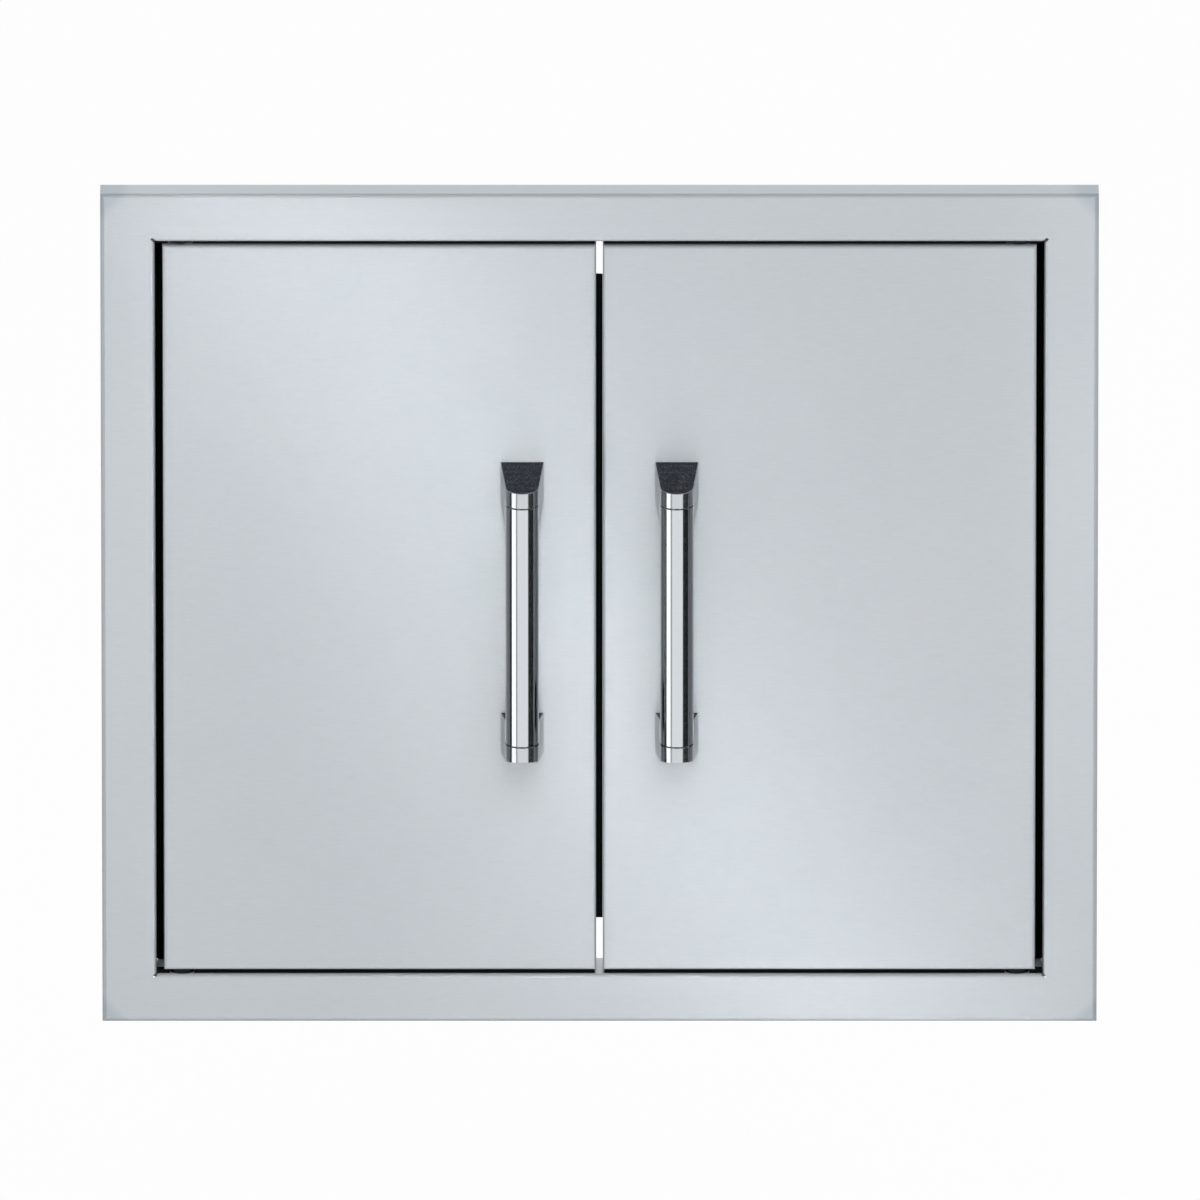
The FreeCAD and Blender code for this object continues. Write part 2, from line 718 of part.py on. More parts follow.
def handle_post():
    """The upper post: a tapered casting with leaning ends, a collar in line with the tube,
    a cradle behind it, a spigot inside it, and pockets for the end cap and the infill."""
    front = tube_off + tube_r
    collar_face = joint_z + joint_groove / 2
    inner_at_cradle = post_foot_inner - post_lean * cradle_off / front
    block = leaning_block([(0, post_foot_inner), (0, post_foot_outer),
                           (front, post_foot_outer - post_lean), (front, collar_face),
                           (cradle_off, collar_face), (cradle_off, inner_at_cradle)])
    post = section_column(0, 0, 0).common(block)
    post = post.cut(tube_space(fit_gap))
    axis_y = face_y - tube_off
    root = handle_z + collar_face
    spigot = rod(tube_r - tube_wall - fit_gap, (handle_x, axis_y, root - spigot_length),
                 (handle_x, axis_y, root + 1))
    post = post.fuse(spigot).removeSplitter()

    depth = infill_thickness + infill_sunk
    cap_pocket = pocket_column(0).common(leaning_slab(post_foot_outer - depth, 2 * depth))
    infill_pocket = pocket_column(0).common(leaning_slab(post_foot_inner - depth, 2 * depth))
    infill_pocket = infill_pocket.cut(tube_space(infill_round_rim + fit_gap))
    peg_top = handle_z + post_foot_outer - depth
    peg_hole = rod(peg_r + fit_gap, (*cap_middle(), peg_top - 2 * peg_length),
                   (*cap_middle(), peg_top))
    foot_z = handle_screw_heights()[1]
    screw_hole = rod(handle_screw_r + fit_gap, (handle_x, face_y + 1, foot_z),
                     (handle_x, face_y - handle_screw_bite - 2, foot_z))
    return post.cut([cap_pocket, infill_pocket, peg_hole, screw_hole])


def end_cap():
    """The textured resin cap in the post's outer end, flush within a thin metal rim."""
    depth = infill_thickness + infill_sunk
    plate = pocket_column(fit_gap).common(
        leaning_slab(post_foot_outer - depth, infill_thickness))
    seat = handle_z + post_foot_outer - depth
    peg = rod(peg_r, (*cap_middle(), seat - peg_length - post_lean / 2), (*cap_middle(), seat - 1))
    return plate.fuse(peg).removeSplitter()


def inner_infill():
    """The resin infill in the post's inner end, between the foot and the back of the tube."""
    plate = pocket_column(fit_gap).common(
        leaning_slab(post_foot_inner + infill_sunk, infill_thickness))
    return plate.cut(tube_space(infill_round_rim + 2 * fit_gap))


def handle_screws():
    """The two screws that hold a handle, driven from inside the skin."""
    screws = []
    for z in handle_screw_heights():
        length = handle_washer + door_sheet + handle_screw_bite
        screw = pan_screw(handle_screw_r, handle_screw_head_r, handle_screw_head, length)
        screw.rotate(Vector(0, 0, 0), Vector(1, 0, 0), -90)
        screw.translate(Vector(handle_x, skin_inside + handle_washer, z))
        screws.append(screw)
    return screws


def handle_washers():
    """The two washers under the heads of the handle's screws."""
    washers = []
    for z in handle_screw_heights():
        start = (handle_x, skin_inside, z)
        end = (handle_x, skin_inside + handle_washer, z)
        washers.append(rod(handle_washer_r, start, end).cut(
            rod(handle_screw_r + fit_gap, start, end)))
    return washers


def save(node, shapes):
    """Writes one node, a single solid or a group of separate ones."""
    shape = shapes[0] if len(shapes) == 1 else Part.makeCompound(shapes)
    broken = [s for s in shapes if not s.isValid() or len(s.Solids) != 1]
    if broken:
        print("check", node, [(s.ShapeType, s.isValid(), len(s.Solids)) for s in broken])
    shape.exportStep(os.path.join("parts", node + ".step"))


os.makedirs("parts", exist_ok=True)

ends = {"sill": -1, "head": 1}
sides = {"left": -1, "right": 1}

# Pieces of the frame
save("face_frame", [face_frame()])
right_sill_bush = pivot_bush()
right_sill_catch = {"catch_housing": [catch_housing()], "catch_magnet": [catch_magnet()]}
poles = []
for side_name, side in sides.items():
    for end_name, end in ends.items():
        corner = side_name + "_" + end_name

        def placed(shape):
            """A right sill piece, carried to this corner."""
            level = flipped(shape) if end > 0 else shape
            return left_hand(level) if side < 0 else level

        save(corner + "_cleat", [corner_cleat(side, end)])
        save(corner + "_bush", [placed(right_sill_bush)])
        for piece, shapes in right_sill_catch.items():
            save(corner + "_" + piece, [placed(s) for s in shapes])
        poles += [placed(s) for s in catch_poles()]
save("catch_poles", poles)
save("catch_screws", catch_screws())

# Pieces of each door, drawn on the right
low_strike, top_strike = strike_heights()
upper_post = handle_post()
upper_cap = end_cap()
upper_infill = inner_infill()
door_pieces = {
    "door_skin": [door_skin()],
    "door_liner": [door_liner()],
    "lower_pin": [lower_pin()],
    "thrust_washer": [thrust_washer()],
    "pin_bracket": [pin_bracket()],
    "spring_pin": [spring_pin()],
    "release_lever": [release_lever()],
    "pin_spring": [pin_spring()],
    "lower_strike": [strike_plate(low_strike)],
    "upper_strike": [strike_plate(top_strike)],
    "strike_screws": strike_screws(),
    "handle_tube": [handle_tube()],
    "upper_post": [upper_post],
    "lower_post": [flipped(upper_post, handle_z)],
    "upper_end_cap": [upper_cap],
    "lower_end_cap": [flipped(upper_cap, handle_z)],
    "upper_infill": [upper_infill],
    "lower_infill": [flipped(upper_infill, handle_z)],
    "handle_screws": handle_screws(),
    "handle_washers": handle_washers(),
}
for piece, shapes in door_pieces.items():
    save("right_" + piece, shapes)
    save("left_" + piece, [left_hand(s) for s in shapes])
save("meeting_seal", [meeting_seal()])
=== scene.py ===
# Double access door for a built-in outdoor kitchen: a folded stainless frame, two flush doors
# on pivot pins, a rubber meeting seal, and a polished bar handle on each door.
# Metres throughout, X to the right, Y into the wall, Z up, origin in the middle of the opening.
import bpy
import bmesh
import math
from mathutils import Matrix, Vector


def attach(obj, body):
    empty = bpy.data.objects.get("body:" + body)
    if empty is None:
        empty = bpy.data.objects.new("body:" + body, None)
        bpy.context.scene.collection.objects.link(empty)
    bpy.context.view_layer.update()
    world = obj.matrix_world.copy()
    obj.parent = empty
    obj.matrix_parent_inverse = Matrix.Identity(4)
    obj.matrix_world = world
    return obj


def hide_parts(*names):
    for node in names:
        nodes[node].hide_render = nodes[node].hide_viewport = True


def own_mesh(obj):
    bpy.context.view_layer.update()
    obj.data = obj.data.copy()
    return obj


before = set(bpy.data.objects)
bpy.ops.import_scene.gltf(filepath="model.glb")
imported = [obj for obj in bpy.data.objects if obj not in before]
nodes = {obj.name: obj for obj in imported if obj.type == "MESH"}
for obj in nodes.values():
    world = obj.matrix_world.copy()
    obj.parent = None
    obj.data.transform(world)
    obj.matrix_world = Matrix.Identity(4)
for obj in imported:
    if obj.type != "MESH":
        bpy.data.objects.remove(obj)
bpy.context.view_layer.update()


# Camera. A 1500 mm lens, 33 m off and 16.5 degrees above the door, so that the upright edges
# stay all but parallel, as catalogue pictures are corrected to be.
camera_data = bpy.data.cameras.new("catalogue_camera")
camera_data.lens = 1500
camera_data.sensor_width = 36
camera_data.clip_end = 200
camera = bpy.data.objects.new("catalogue_camera", camera_data)
bpy.context.scene.collection.objects.link(camera)
camera_pitch = math.radians(16.5)
camera_way = Vector((0, -math.cos(camera_pitch), math.sin(camera_pitch)))
camera_aim = Vector((0.00033, -0.0254, 0.0063))
camera_distance = 33.135
camera.location = camera_aim + camera_distance * camera_way
camera.rotation_euler = (math.pi / 2 - camera_pitch, 0, 0)
bpy.context.scene.camera = camera
bpy.context.scene.view_settings.view_transform = "Standard"


# Studio. A room for the metal to mirror: a broad white card in front, a narrow bright one to
# the left, dark drapes beside them, a bright wall behind the door and a dim ceiling. The
# camera itself sees plain white.
def colour(sheet_hex):
    """An sRGB hex colour as linear red, green, blue and alpha."""
    parts = [int(sheet_hex[i:i + 2], 16) / 255 for i in (1, 3, 5)]
    return (*[p / 12.92 if p <= 0.04045 else ((p + 0.055) / 1.055) ** 2.4 for p in parts], 1)


def add_node(tree, kind, sockets=None, **settings):
    """Adds a node. Each socket takes a plain value or the output that feeds it."""
    node = tree.nodes.new(kind)
    for name, value in settings.items():
        setattr(node, name, value)
    for name, value in (sockets or {}).items():
        if isinstance(value, bpy.types.NodeSocket):
            tree.links.new(value, node.inputs[name])
        else:
            node.inputs[name].default_value = value
    return node


def set_stops(ramp, stops):
    """Gives a colour ramp its grey levels, from (position, level) pairs."""
    while len(ramp.elements) > 1:
        ramp.elements.remove(ramp.elements[-1])
    ramp.elements[0].position, level = stops[0]
    ramp.elements[0].color = (level, level, level, 1)
    for position, level in stops[1:]:
        ramp.elements.new(position).color = (level, level, level, 1)


room = bpy.data.worlds.new("studio_room")
bpy.context.scene.world = room
room.use_nodes = True
sky = room.node_tree
sky.nodes.clear()
toward = add_node(sky, "ShaderNodeTexCoord").outputs["Generated"]
split = add_node(sky, "ShaderNodeSeparateXYZ", {"Vector": toward})
height = split.outputs["Z"]
front = add_node(sky, "ShaderNodeMath", {0: split.outputs["Y"], 1: -1.0}, operation="MULTIPLY")
bearing = add_node(sky, "ShaderNodeMath", {
    0: split.outputs["X"], 1: front.outputs[0]}, operation="ARCTAN2")
turn = add_node(sky, "ShaderNodeMapRange", {
    "Value": bearing.outputs[0], "From Min": -math.pi, "From Max": math.pi})

# Levels round the room, by bearing in degrees from the front, positive to the right. The
# handles mirror only the low ring, so the bright card and the drapes hang there. The last ring
# holds the share of the room's light that is left where two reflections show it.
room_strength = 2.4
card_rings = {
    "low": [(-180, 0.0), (-168, 0.02), (-160, 0.85), (-140, 0.80), (-132, 0.12), (-112, 0.14),
            (-103, 0.28), (-96, 0.14), (-90, 0.02), (-76, 0.02), (-73, 1.70), (-46, 1.70),
            (-43, 0.42), (-35, 0.42), (-32, 1.00), (40, 1.00), (43, 0.012), (86, 0.012),
            (88, 0.24), (94, 0.24), (97, 0.012), (180, 0.0)],
    "side": [(-180, 0.05), (-150, 0.10), (-125, 0.80), (-75, 1.00), (-45, 1.45), (-25, 0.45),
             (25, 0.45), (45, 1.45), (75, 1.00), (125, 0.80), (150, 0.10), (180, 0.05)],
    "eye": [(-180, 2.20), (-135, 1.80), (-95, 0.70), (-60, 0.35), (60, 0.35), (95, 0.70),
            (135, 1.50), (180, 2.20)],
    "high": [(-180, 2.20), (-130, 1.80), (-100, 0.25), (0, 0.10), (100, 0.25), (130, 1.50),
             (180, 2.20)],
    "twice": [(-180, 0.01), (-48, 0.02), (-36, 1.90), (-18, 1.90), (-12, 0.10), (12, 0.10),
              (18, 1.90), (30, 1.90), (40, 0.02), (180, 0.01)]}
ring = {}
for ring_name, cards in card_rings.items():
    levels = add_node(sky, "ShaderNodeValToRGB", {"Fac": turn.outputs[0]})
    set_stops(levels.color_ramp,
              [((angle + 180) / 360, level / room_strength) for angle, level in cards])
    ring[ring_name] = levels.outputs["Color"]

# The low ring hangs in a band as far below eye level as the camera is above it, with the side
# ring over and under it. The eye and high rings, a nearly dark zenith and a pale grey ground
# each fade in over a span of height.
band_drop, band_core, band_edge = 0.284, 0.08, 0.13
off_band = add_node(sky, "ShaderNodeMath", {0: height, 1: band_drop}, operation="ADD")
band_distance = add_node(sky, "ShaderNodeMath", {0: off_band.outputs[0]}, operation="ABSOLUTE")
in_band = add_node(sky, "ShaderNodeMapRange", {
    "Value": band_distance.outputs[0], "From Min": band_edge, "From Max": band_core},
    interpolation_type="SMOOTHSTEP")
hung = add_node(sky, "ShaderNodeMix", {
    0: in_band.outputs[0], 6: ring["side"], 7: ring["low"]}, data_type="RGBA")
shell = hung.outputs[2]
zenith_grey, ground_grey = [(*[level / room_strength] * 3, 1) for level in (0.05, 0.60)]
for fade_from, fade_to, next_ring in ((-0.02, 0.16, ring["eye"]), (0.20, 0.44, ring["high"]),
                                      (0.70, 0.86, zenith_grey), (-0.55, -0.75, ground_grey)):
    fade = add_node(sky, "ShaderNodeMapRange", {
        "Value": height, "From Min": fade_from, "From Max": fade_to},
        interpolation_type="SMOOTHSTEP")
    faded = add_node(sky, "ShaderNodeMix", {
        0: fade.outputs[0], 6: shell, 7: next_ring}, data_type="RGBA")
    shell = faded.outputs[2]

# Ray Depth is 2 where one reflection shows the room, 3 where two do and 4 where three do. By
# two, only two tall cards either side of the front are kept, and by three nearly nothing, so
# slots and folds go dark.
seen_by = add_node(sky, "ShaderNodeLightPath")
second = add_node(sky, "ShaderNodeMapRange", {
    "Value": seen_by.outputs["Ray Depth"], "From Min": 2.0, "From Max": 3.0})
two_cards = add_node(sky, "ShaderNodeMath", {
    0: ring["twice"], 1: room_strength}, operation="MULTIPLY")
kept = add_node(sky, "ShaderNodeMix", {0: second.outputs[0], 2: 1.0, 3: two_cards.outputs[0]})
spent = add_node(sky, "ShaderNodeMapRange", {
    "Value": seen_by.outputs["Ray Depth"], "From Min": 3.0, "From Max": 4.0,
    "To Min": room_strength, "To Max": 0.01 * room_strength})
lit = add_node(sky, "ShaderNodeMath", {
    0: kept.outputs[0], 1: spent.outputs[0]}, operation="MULTIPLY")
lit_room = add_node(sky, "ShaderNodeBackground", {"Color": shell, "Strength": lit.outputs[0]})
white_page = add_node(sky, "ShaderNodeBackground", {"Color": (1, 1, 1, 1), "Strength": 1.0})
room_mix = add_node(sky, "ShaderNodeMixShader", {
    0: seen_by.outputs["Is Camera Ray"], 1: lit_room.outputs[0], 2: white_page.outputs[0]})
add_node(sky, "ShaderNodeOutputWorld", {"Surface": room_mix.outputs[0]})


def hang_lamp(name, size, power, place, turned):
    """A rectangular lamp: its size, power in watts, place, and the three angles of its turn."""
    lamp_data = bpy.data.lights.new(name, "AREA")
    lamp_data.shape = "RECTANGLE"
    lamp_data.size, lamp_data.size_y = size
    lamp_data.energy = power
    lamp = bpy.data.objects.new(name, lamp_data)
    bpy.context.scene.collection.objects.link(lamp)
    lamp.location = place
    lamp.rotation_euler = turned
    return lamp


def turn_to(aim, place):
    """The three angles of a lamp that hangs at a place and faces a point."""
    return (Vector(aim) - Vector(place)).to_track_quat("-Z", "Y").to_euler()


def dim_when_mirrored(lamp):
    """Puts a lamp's light out on what the camera sees only by a reflection."""
    lamp.data.use_nodes = True
    glow = lamp.data.node_tree
    glow.nodes.clear()
    path = add_node(glow, "ShaderNodeLightPath")
    share_left = add_node(glow, "ShaderNodeMapRange", {
        "Value": path.outputs["Ray Depth"], "From Min": 2.0, "From Max": 3.0,
        "To Min": 1.0, "To Max": 0.0})
    emission = add_node(glow, "ShaderNodeEmission", {"Strength": share_left.outputs[0]})
    add_node(glow, "ShaderNodeOutputLight", {"Surface": emission.outputs[0]})


# A large soft lamp high in front, a little to the right, lifts all that isn't a mirror
box_place = (0.3, -2.4, 2.0)
soft_box = hang_lamp("soft_box", (2.4, 1.8), 76, box_place, turn_to((0, 0, 0), box_place))
soft_box.visible_glossy = False
dim_when_mirrored(soft_box)

# A broad card low in front lights the sheets alone, and the handles throw no shadow of it, so
# that the brushed sheets hardly mirror them
front_place = (0, -1.40, -0.54)
front_card = hang_lamp("front_card", (1.6, 1.2), 6.9, front_place,
                       turn_to((0, -0.025, 0), front_place))

# A slanting strip close in front of the sheets gives them their broad diagonal sheen. It is
# kept off the handles, which mirror the room alone.
strip_y = -0.34
sheen_strip = hang_lamp("sheen_strip", (1.2, 0.06), 0.72, (0.0, strip_y, -0.093),
                        (math.pi / 2, math.radians(58), 0))

# Two faint upright strips do the same for the frame's side borders
border_strips = []
for strip_x, strip_power in ((-0.32, 0.022), (0.33, 0.036)):
    border_strips.append(hang_lamp("border_strip", (0.08, 0.34), strip_power,
                                   (strip_x, strip_y, 0.02), (math.pi / 2, 0, 0)))

# Two cards far out at the sides, the left one the brighter, draw a thin line of light down the
# folded upright edges of the doors
fold_cards = []
for card_x, card_power in ((-1.2, 1.2), (1.2, 0.6)):
    card_place = (card_x, -0.27, -0.08)
    fold_card = hang_lamp("fold_card", (0.30, 0.30), card_power, card_place,
                          turn_to((0, -0.025, 0.1), card_place))
    dim_when_mirrored(fold_card)
    fold_cards.append(fold_card)

sheets = bpy.data.collections.new("sheets_with_sheen")
for name in ("face_frame", "left_door_skin", "right_door_skin"):
    sheets.objects.link(nodes[name])
doors = bpy.data.collections.new("doors_with_fold_light")
for name in ("left_door_skin", "right_door_skin"):
    doors.objects.link(nodes[name])
sheet_lamps = (front_card, sheen_strip, *border_strips)
for lamp in sheet_lamps:
    lamp.light_linking.receiver_collection = sheets
    lamp.light_linking.blocker_collection = sheets
    lamp.data.cycles.use_multiple_importance_sampling = False
for lamp in fold_cards:
    lamp.light_linking.receiver_collection = doors
for lamp in (*sheet_lamps, *fold_cards):
    lamp.visible_diffuse = False
    lamp.visible_camera = False

# The pale floor is well below the door, as below an island's side. Its underside is clear, so
# that the door can also be looked at from below.
floor_z, floor_reach = -0.62, 40
floor_corners = [(x * floor_reach, y * floor_reach, floor_z)
                 for x, y in ((-1, -1), (1, -1), (1, 1), (-1, 1))]
floor_mesh = bpy.data.meshes.new("pale_floor")
floor_mesh.from_pydata(floor_corners, [], [(0, 1, 2, 3)])
floor = bpy.data.objects.new("pale_floor", floor_mesh)
bpy.context.scene.collection.objects.link(floor)
pale_paint = bpy.data.materials.new("pale_floor_paint")
pale_paint.use_nodes = True
paint = pale_paint.node_tree
paint.nodes.clear()
page_share = 0.97
matt = add_node(paint, "ShaderNodeBsdfDiffuse", {"Color": colour("#f4f4f4")})
page = add_node(paint, "ShaderNodeEmission", {"Color": (1, 1, 1, 1), "Strength": 1.0})
looked_at = add_node(paint, "ShaderNodeLightPath")
share = add_node(paint, "ShaderNodeMath", {
    0: looked_at.outputs["Is Camera Ray"], 1: page_share}, operation="MULTIPLY")
top_side = add_node(paint, "ShaderNodeMixShader", {
    0: share.outputs[0], 1: matt.outputs[0], 2: page.outputs[0]})
clear = add_node(paint, "ShaderNodeBsdfTransparent")
under = add_node(paint, "ShaderNodeNewGeometry")
both_sides = add_node(paint, "ShaderNodeMixShader", {
    0: under.outputs["Backfacing"], 1: top_side.outputs[0], 2: clear.outputs[0]})
add_node(paint, "ShaderNodeOutputMaterial", {"Surface": both_sides.outputs[0]})
floor_mesh.materials.append(pale_paint)
floor.visible_glossy = False


# Face frame. One sheet of 1.5 mm stainless, laser cut and folded: face, outer return, wall lips
# and throat. The mill brushed it along its length before it was cut, so the grain runs level on
# the face and carries on round every fold. The outer corners are welded and ground flush.
def finish_material(name):
    """An empty material, and the tree that its surface goes in."""
    material = bpy.data.materials.new(name)
    material.use_nodes = True
    material.node_tree.nodes.clear()
    return material, material.node_tree


def dress(material, *names):
    """Gives CAD nodes a finish in place of the plain one that they came with."""
    for name in names:
        mesh = nodes[name].data
        mesh.materials.clear()
        mesh.materials.append(material)


# Number 4 brushed 304 stainless: grey with a little blue, streaks about 12 mm long. The real
# lines are 0.05 mm apart; they are drawn 0.5 mm apart so that they show, one above the other on
# an upright face and one behind the other on a level one.
brushed_stainless, brushed = finish_material("brushed_304_stainless")
place = add_node(brushed, "ShaderNodeTexCoord")
facing = add_node(brushed, "ShaderNodeVectorMath", {
    0: place.outputs["Normal"]}, operation="ABSOLUTE")
level_face = add_node(brushed, "ShaderNodeSeparateXYZ", {0: facing.outputs[0]})
streak_length, streak_gap = 0.012, 0.0005
along, across = 1 / streak_length, 1 / streak_gap
depth_scale = add_node(brushed, "ShaderNodeMapRange", {
    "Value": level_face.outputs["Z"], "To Min": along, "To Max": across})
line_scale = add_node(brushed, "ShaderNodeCombineXYZ", {
    "X": along, "Y": depth_scale.outputs[0], "Z": across})
line_place = add_node(brushed, "ShaderNodeVectorMath", {
    0: place.outputs["Object"], 1: line_scale.outputs[0]}, operation="MULTIPLY")
lines = add_node(brushed, "ShaderNodeTexNoise", {
    "Vector": line_place.outputs[0], "Scale": 1.0, "Detail": 3.0, "Roughness": 0.65})
clouds = add_node(brushed, "ShaderNodeTexNoise", {
    "Vector": place.outputs["Object"], "Scale": 7.0, "Detail": 2.0})
line_grey = add_node(brushed, "ShaderNodeMix", {
    0: lines.outputs[0], 6: colour("#c2c7cc"), 7: colour("#d2d7dc")}, data_type="RGBA")
cloud_grey = add_node(brushed, "ShaderNodeMix", {
    0: clouds.outputs[0], 6: colour("#f6f8f8"), 7: colour("#ffffff")}, data_type="RGBA")
sheet_grey = add_node(brushed, "ShaderNodeMix", {
    0: 1.0, 6: line_grey.outputs[2], 7: cloud_grey.outputs[2]},
    data_type="RGBA", blend_type="MULTIPLY")

# Painted shade: the frame's four corners are drawn slightly duller and bluer, as shade where its
# folds meet. A place's reach is its distance from the middle along X and along Z together, 0.616 at
# a corner's tip.
corner_shade_edge, corner_shade_heart = 0.594, 0.606
from_corner = add_node(brushed, "ShaderNodeVectorMath", {
    0: place.outputs["Object"]}, operation="ABSOLUTE")
corner_reach = add_node(brushed, "ShaderNodeVectorMath", {
    0: from_corner.outputs[0], 1: (1, 0, 1)}, operation="DOT_PRODUCT")
corner_shade = add_node(brushed, "ShaderNodeMapRange", {
    "Value": corner_reach.outputs["Value"], "From Min": corner_shade_edge, "From Max": corner_shade_heart},
    interpolation_type="SMOOTHSTEP")
corner_shade_grey = add_node(brushed, "ShaderNodeMix", {
    0: corner_shade.outputs[0], 6: (1, 1, 1, 1), 7: colour("#ecf0f3")}, data_type="RGBA")
# The painted corner shade darkens the brushed grey here
frame_grey = add_node(brushed, "ShaderNodeMix", {
    0: 1.0, 6: sheet_grey.outputs[2], 7: corner_shade_grey.outputs[2]},
    data_type="RGBA", blend_type="MULTIPLY")
line_gloss = add_node(brushed, "ShaderNodeMapRange", {
    "Value": lines.outputs[0], "From Min": 0.3, "From Max": 0.7, "To Min": 0.34, "To Max": 0.42})
line_bump = add_node(brushed, "ShaderNodeBump", {
    "Strength": 0.08, "Distance": 0.00005, "Height": lines.outputs[0]})

# The grain that turns the gloss runs level round every fold: square to the face and to an
# upright, which leans a little so that a level face has a grain too
grain = add_node(brushed, "ShaderNodeVectorMath", {
    0: place.outputs["Normal"], 1: (0, 0.05, 1)}, operation="CROSS_PRODUCT")
grain_unit = add_node(brushed, "ShaderNodeVectorMath", {0: grain.outputs[0]}, operation="NORMALIZE")
grain_world = add_node(brushed, "ShaderNodeVectorTransform", {
    "Vector": grain_unit.outputs[0]},
    vector_type="VECTOR", convert_from="OBJECT", convert_to="WORLD")
sheet_metal = add_node(brushed, "ShaderNodeBsdfPrincipled", {
    "Base Color": frame_grey.outputs[2], "Metallic": 0.5, "Roughness": line_gloss.outputs[0],
    "Anisotropic": 1.0, "Anisotropic Rotation": 0.25, "Tangent": grain_world.outputs[0],
    "Normal": line_bump.outputs[0]})
add_node(brushed, "ShaderNodeOutputMaterial", {"Surface": sheet_metal.outputs[0]})
dress(brushed_stainless, "face_frame")


# Corner cleats. Angles folded from 1.5 mm sheet as it leaves the mill, spot welded behind the
# throat, where they tie its four returns together and back up the bushes.
corners = [side + "_" + end for side in ("left", "right") for end in ("sill", "head")]

# Cold-rolled 304 with a 2B mill finish: dull silver with soft clouds 20 mm across, and faint
# rolling marks 17 mm long that hardly show in its gloss
mill_stainless, mill = finish_material("mill_2b_304_stainless")
mill_place = add_node(mill, "ShaderNodeTexCoord").outputs["Object"]
mill_clouds = add_node(mill, "ShaderNodeTexNoise", {
    "Vector": mill_place, "Scale": 50.0, "Detail": 3.0})
roll_stretch = add_node(mill, "ShaderNodeMapping", {"Vector": mill_place, "Scale": (60, 700, 700)})
roll_marks = add_node(mill, "ShaderNodeTexNoise", {
    "Vector": roll_stretch.outputs[0], "Scale": 1.0, "Detail": 2.0})
mill_grey = add_node(mill, "ShaderNodeMix", {
    0: mill_clouds.outputs[0], 6: colour("#b4b8bc"), 7: colour("#c6cace")}, data_type="RGBA")
mill_gloss = add_node(mill, "ShaderNodeMapRange", {
    "Value": roll_marks.outputs[0], "From Min": 0.3, "From Max": 0.7,
    "To Min": 0.37, "To Max": 0.41})
mill_bump = add_node(mill, "ShaderNodeBump", {
    "Strength": 0.03, "Distance": 0.00004, "Height": roll_marks.outputs[0]})
mill_metal = add_node(mill, "ShaderNodeBsdfPrincipled", {
    "Base Color": mill_grey.outputs[2], "Metallic": 0.6, "Roughness": mill_gloss.outputs[0],
    "Normal": mill_bump.outputs[0]})
add_node(mill, "ShaderNodeOutputMaterial", {"Surface": mill_metal.outputs[0]})
dress(mill_stainless, *[corner + "_cleat" for corner in corners])


# Pivot bushes. Flanged bushes moulded in black acetal, pressed into the head and the sill, one
# for each pivot. The doors' thrust washers are moulded in the same resin.

# Moulded acetal: near black and waxy, with flow clouds 11 mm across and the fine spark texture
# of the mould, 0.1 mm in reality and drawn at 0.4 mm
black_acetal, acetal = finish_material("moulded_black_acetal")
acetal_place = add_node(acetal, "ShaderNodeTexCoord").outputs["Object"]
acetal_texture = add_node(acetal, "ShaderNodeTexNoise", {
    "Vector": acetal_place, "Scale": 2500.0, "Detail": 2.0})
acetal_flow = add_node(acetal, "ShaderNodeTexNoise", {
    "Vector": acetal_place, "Scale": 90.0, "Detail": 1.0})
acetal_black = add_node(acetal, "ShaderNodeMix", {
    0: acetal_flow.outputs[0], 6: colour("#0e0f10"), 7: colour("#17181a")}, data_type="RGBA")
acetal_gloss = add_node(acetal, "ShaderNodeMapRange", {
    "Value": acetal_texture.outputs[0], "From Min": 0.3, "From Max": 0.7,
    "To Min": 0.36, "To Max": 0.5})
acetal_bump = add_node(acetal, "ShaderNodeBump", {
    "Strength": 0.25, "Distance": 0.00003, "Height": acetal_texture.outputs[0]})
acetal_skin = add_node(acetal, "ShaderNodeBsdfPrincipled", {
    "Base Color": acetal_black.outputs[2], "Roughness": acetal_gloss.outputs[0], "IOR": 1.48,
    "Specular IOR Level": 0.25, "Normal": acetal_bump.outputs[0]})
add_node(acetal, "ShaderNodeOutputMaterial", {"Surface": acetal_skin.outputs[0]})
dress(black_acetal, *[corner + "_bush" for corner in corners])
dress(black_acetal, "left_thrust_washer", "right_thrust_washer")


# Magnetic catches. Each has an acetal housing that is screwed to the head or the sill, with a
# block magnet pressed in between two steel pole plates that come flush with its front.
dress(black_acetal, *[corner + "_catch_housing" for corner in corners])

# Sintered ferrite: charcoal, dead matt, with grains 0.3 mm across, each paler in its middle
ferrite_block, ferrite = finish_material("sintered_ferrite")
ferrite_place = add_node(ferrite, "ShaderNodeTexCoord").outputs["Object"]
ferrite_grains = add_node(ferrite, "ShaderNodeTexVoronoi", {
    "Vector": ferrite_place, "Scale": 3000.0})
ferrite_grey = add_node(ferrite, "ShaderNodeMix", {
    0: ferrite_grains.outputs["Distance"], 6: colour("#3f3e41"), 7: colour("#2a292c")},
    data_type="RGBA")
ferrite_bump = add_node(ferrite, "ShaderNodeBump", {
    "Strength": 0.3, "Distance": 0.00005, "Height": ferrite_grains.outputs["Distance"]})
ferrite_skin = add_node(ferrite, "ShaderNodeBsdfPrincipled", {
    "Base Color": ferrite_grey.outputs[2], "Roughness": 0.8, "Normal": ferrite_bump.outputs[0]})
add_node(ferrite, "ShaderNodeOutputMaterial", {"Surface": ferrite_skin.outputs[0]})
dress(ferrite_block, *[corner + "_catch_magnet" for corner in corners])

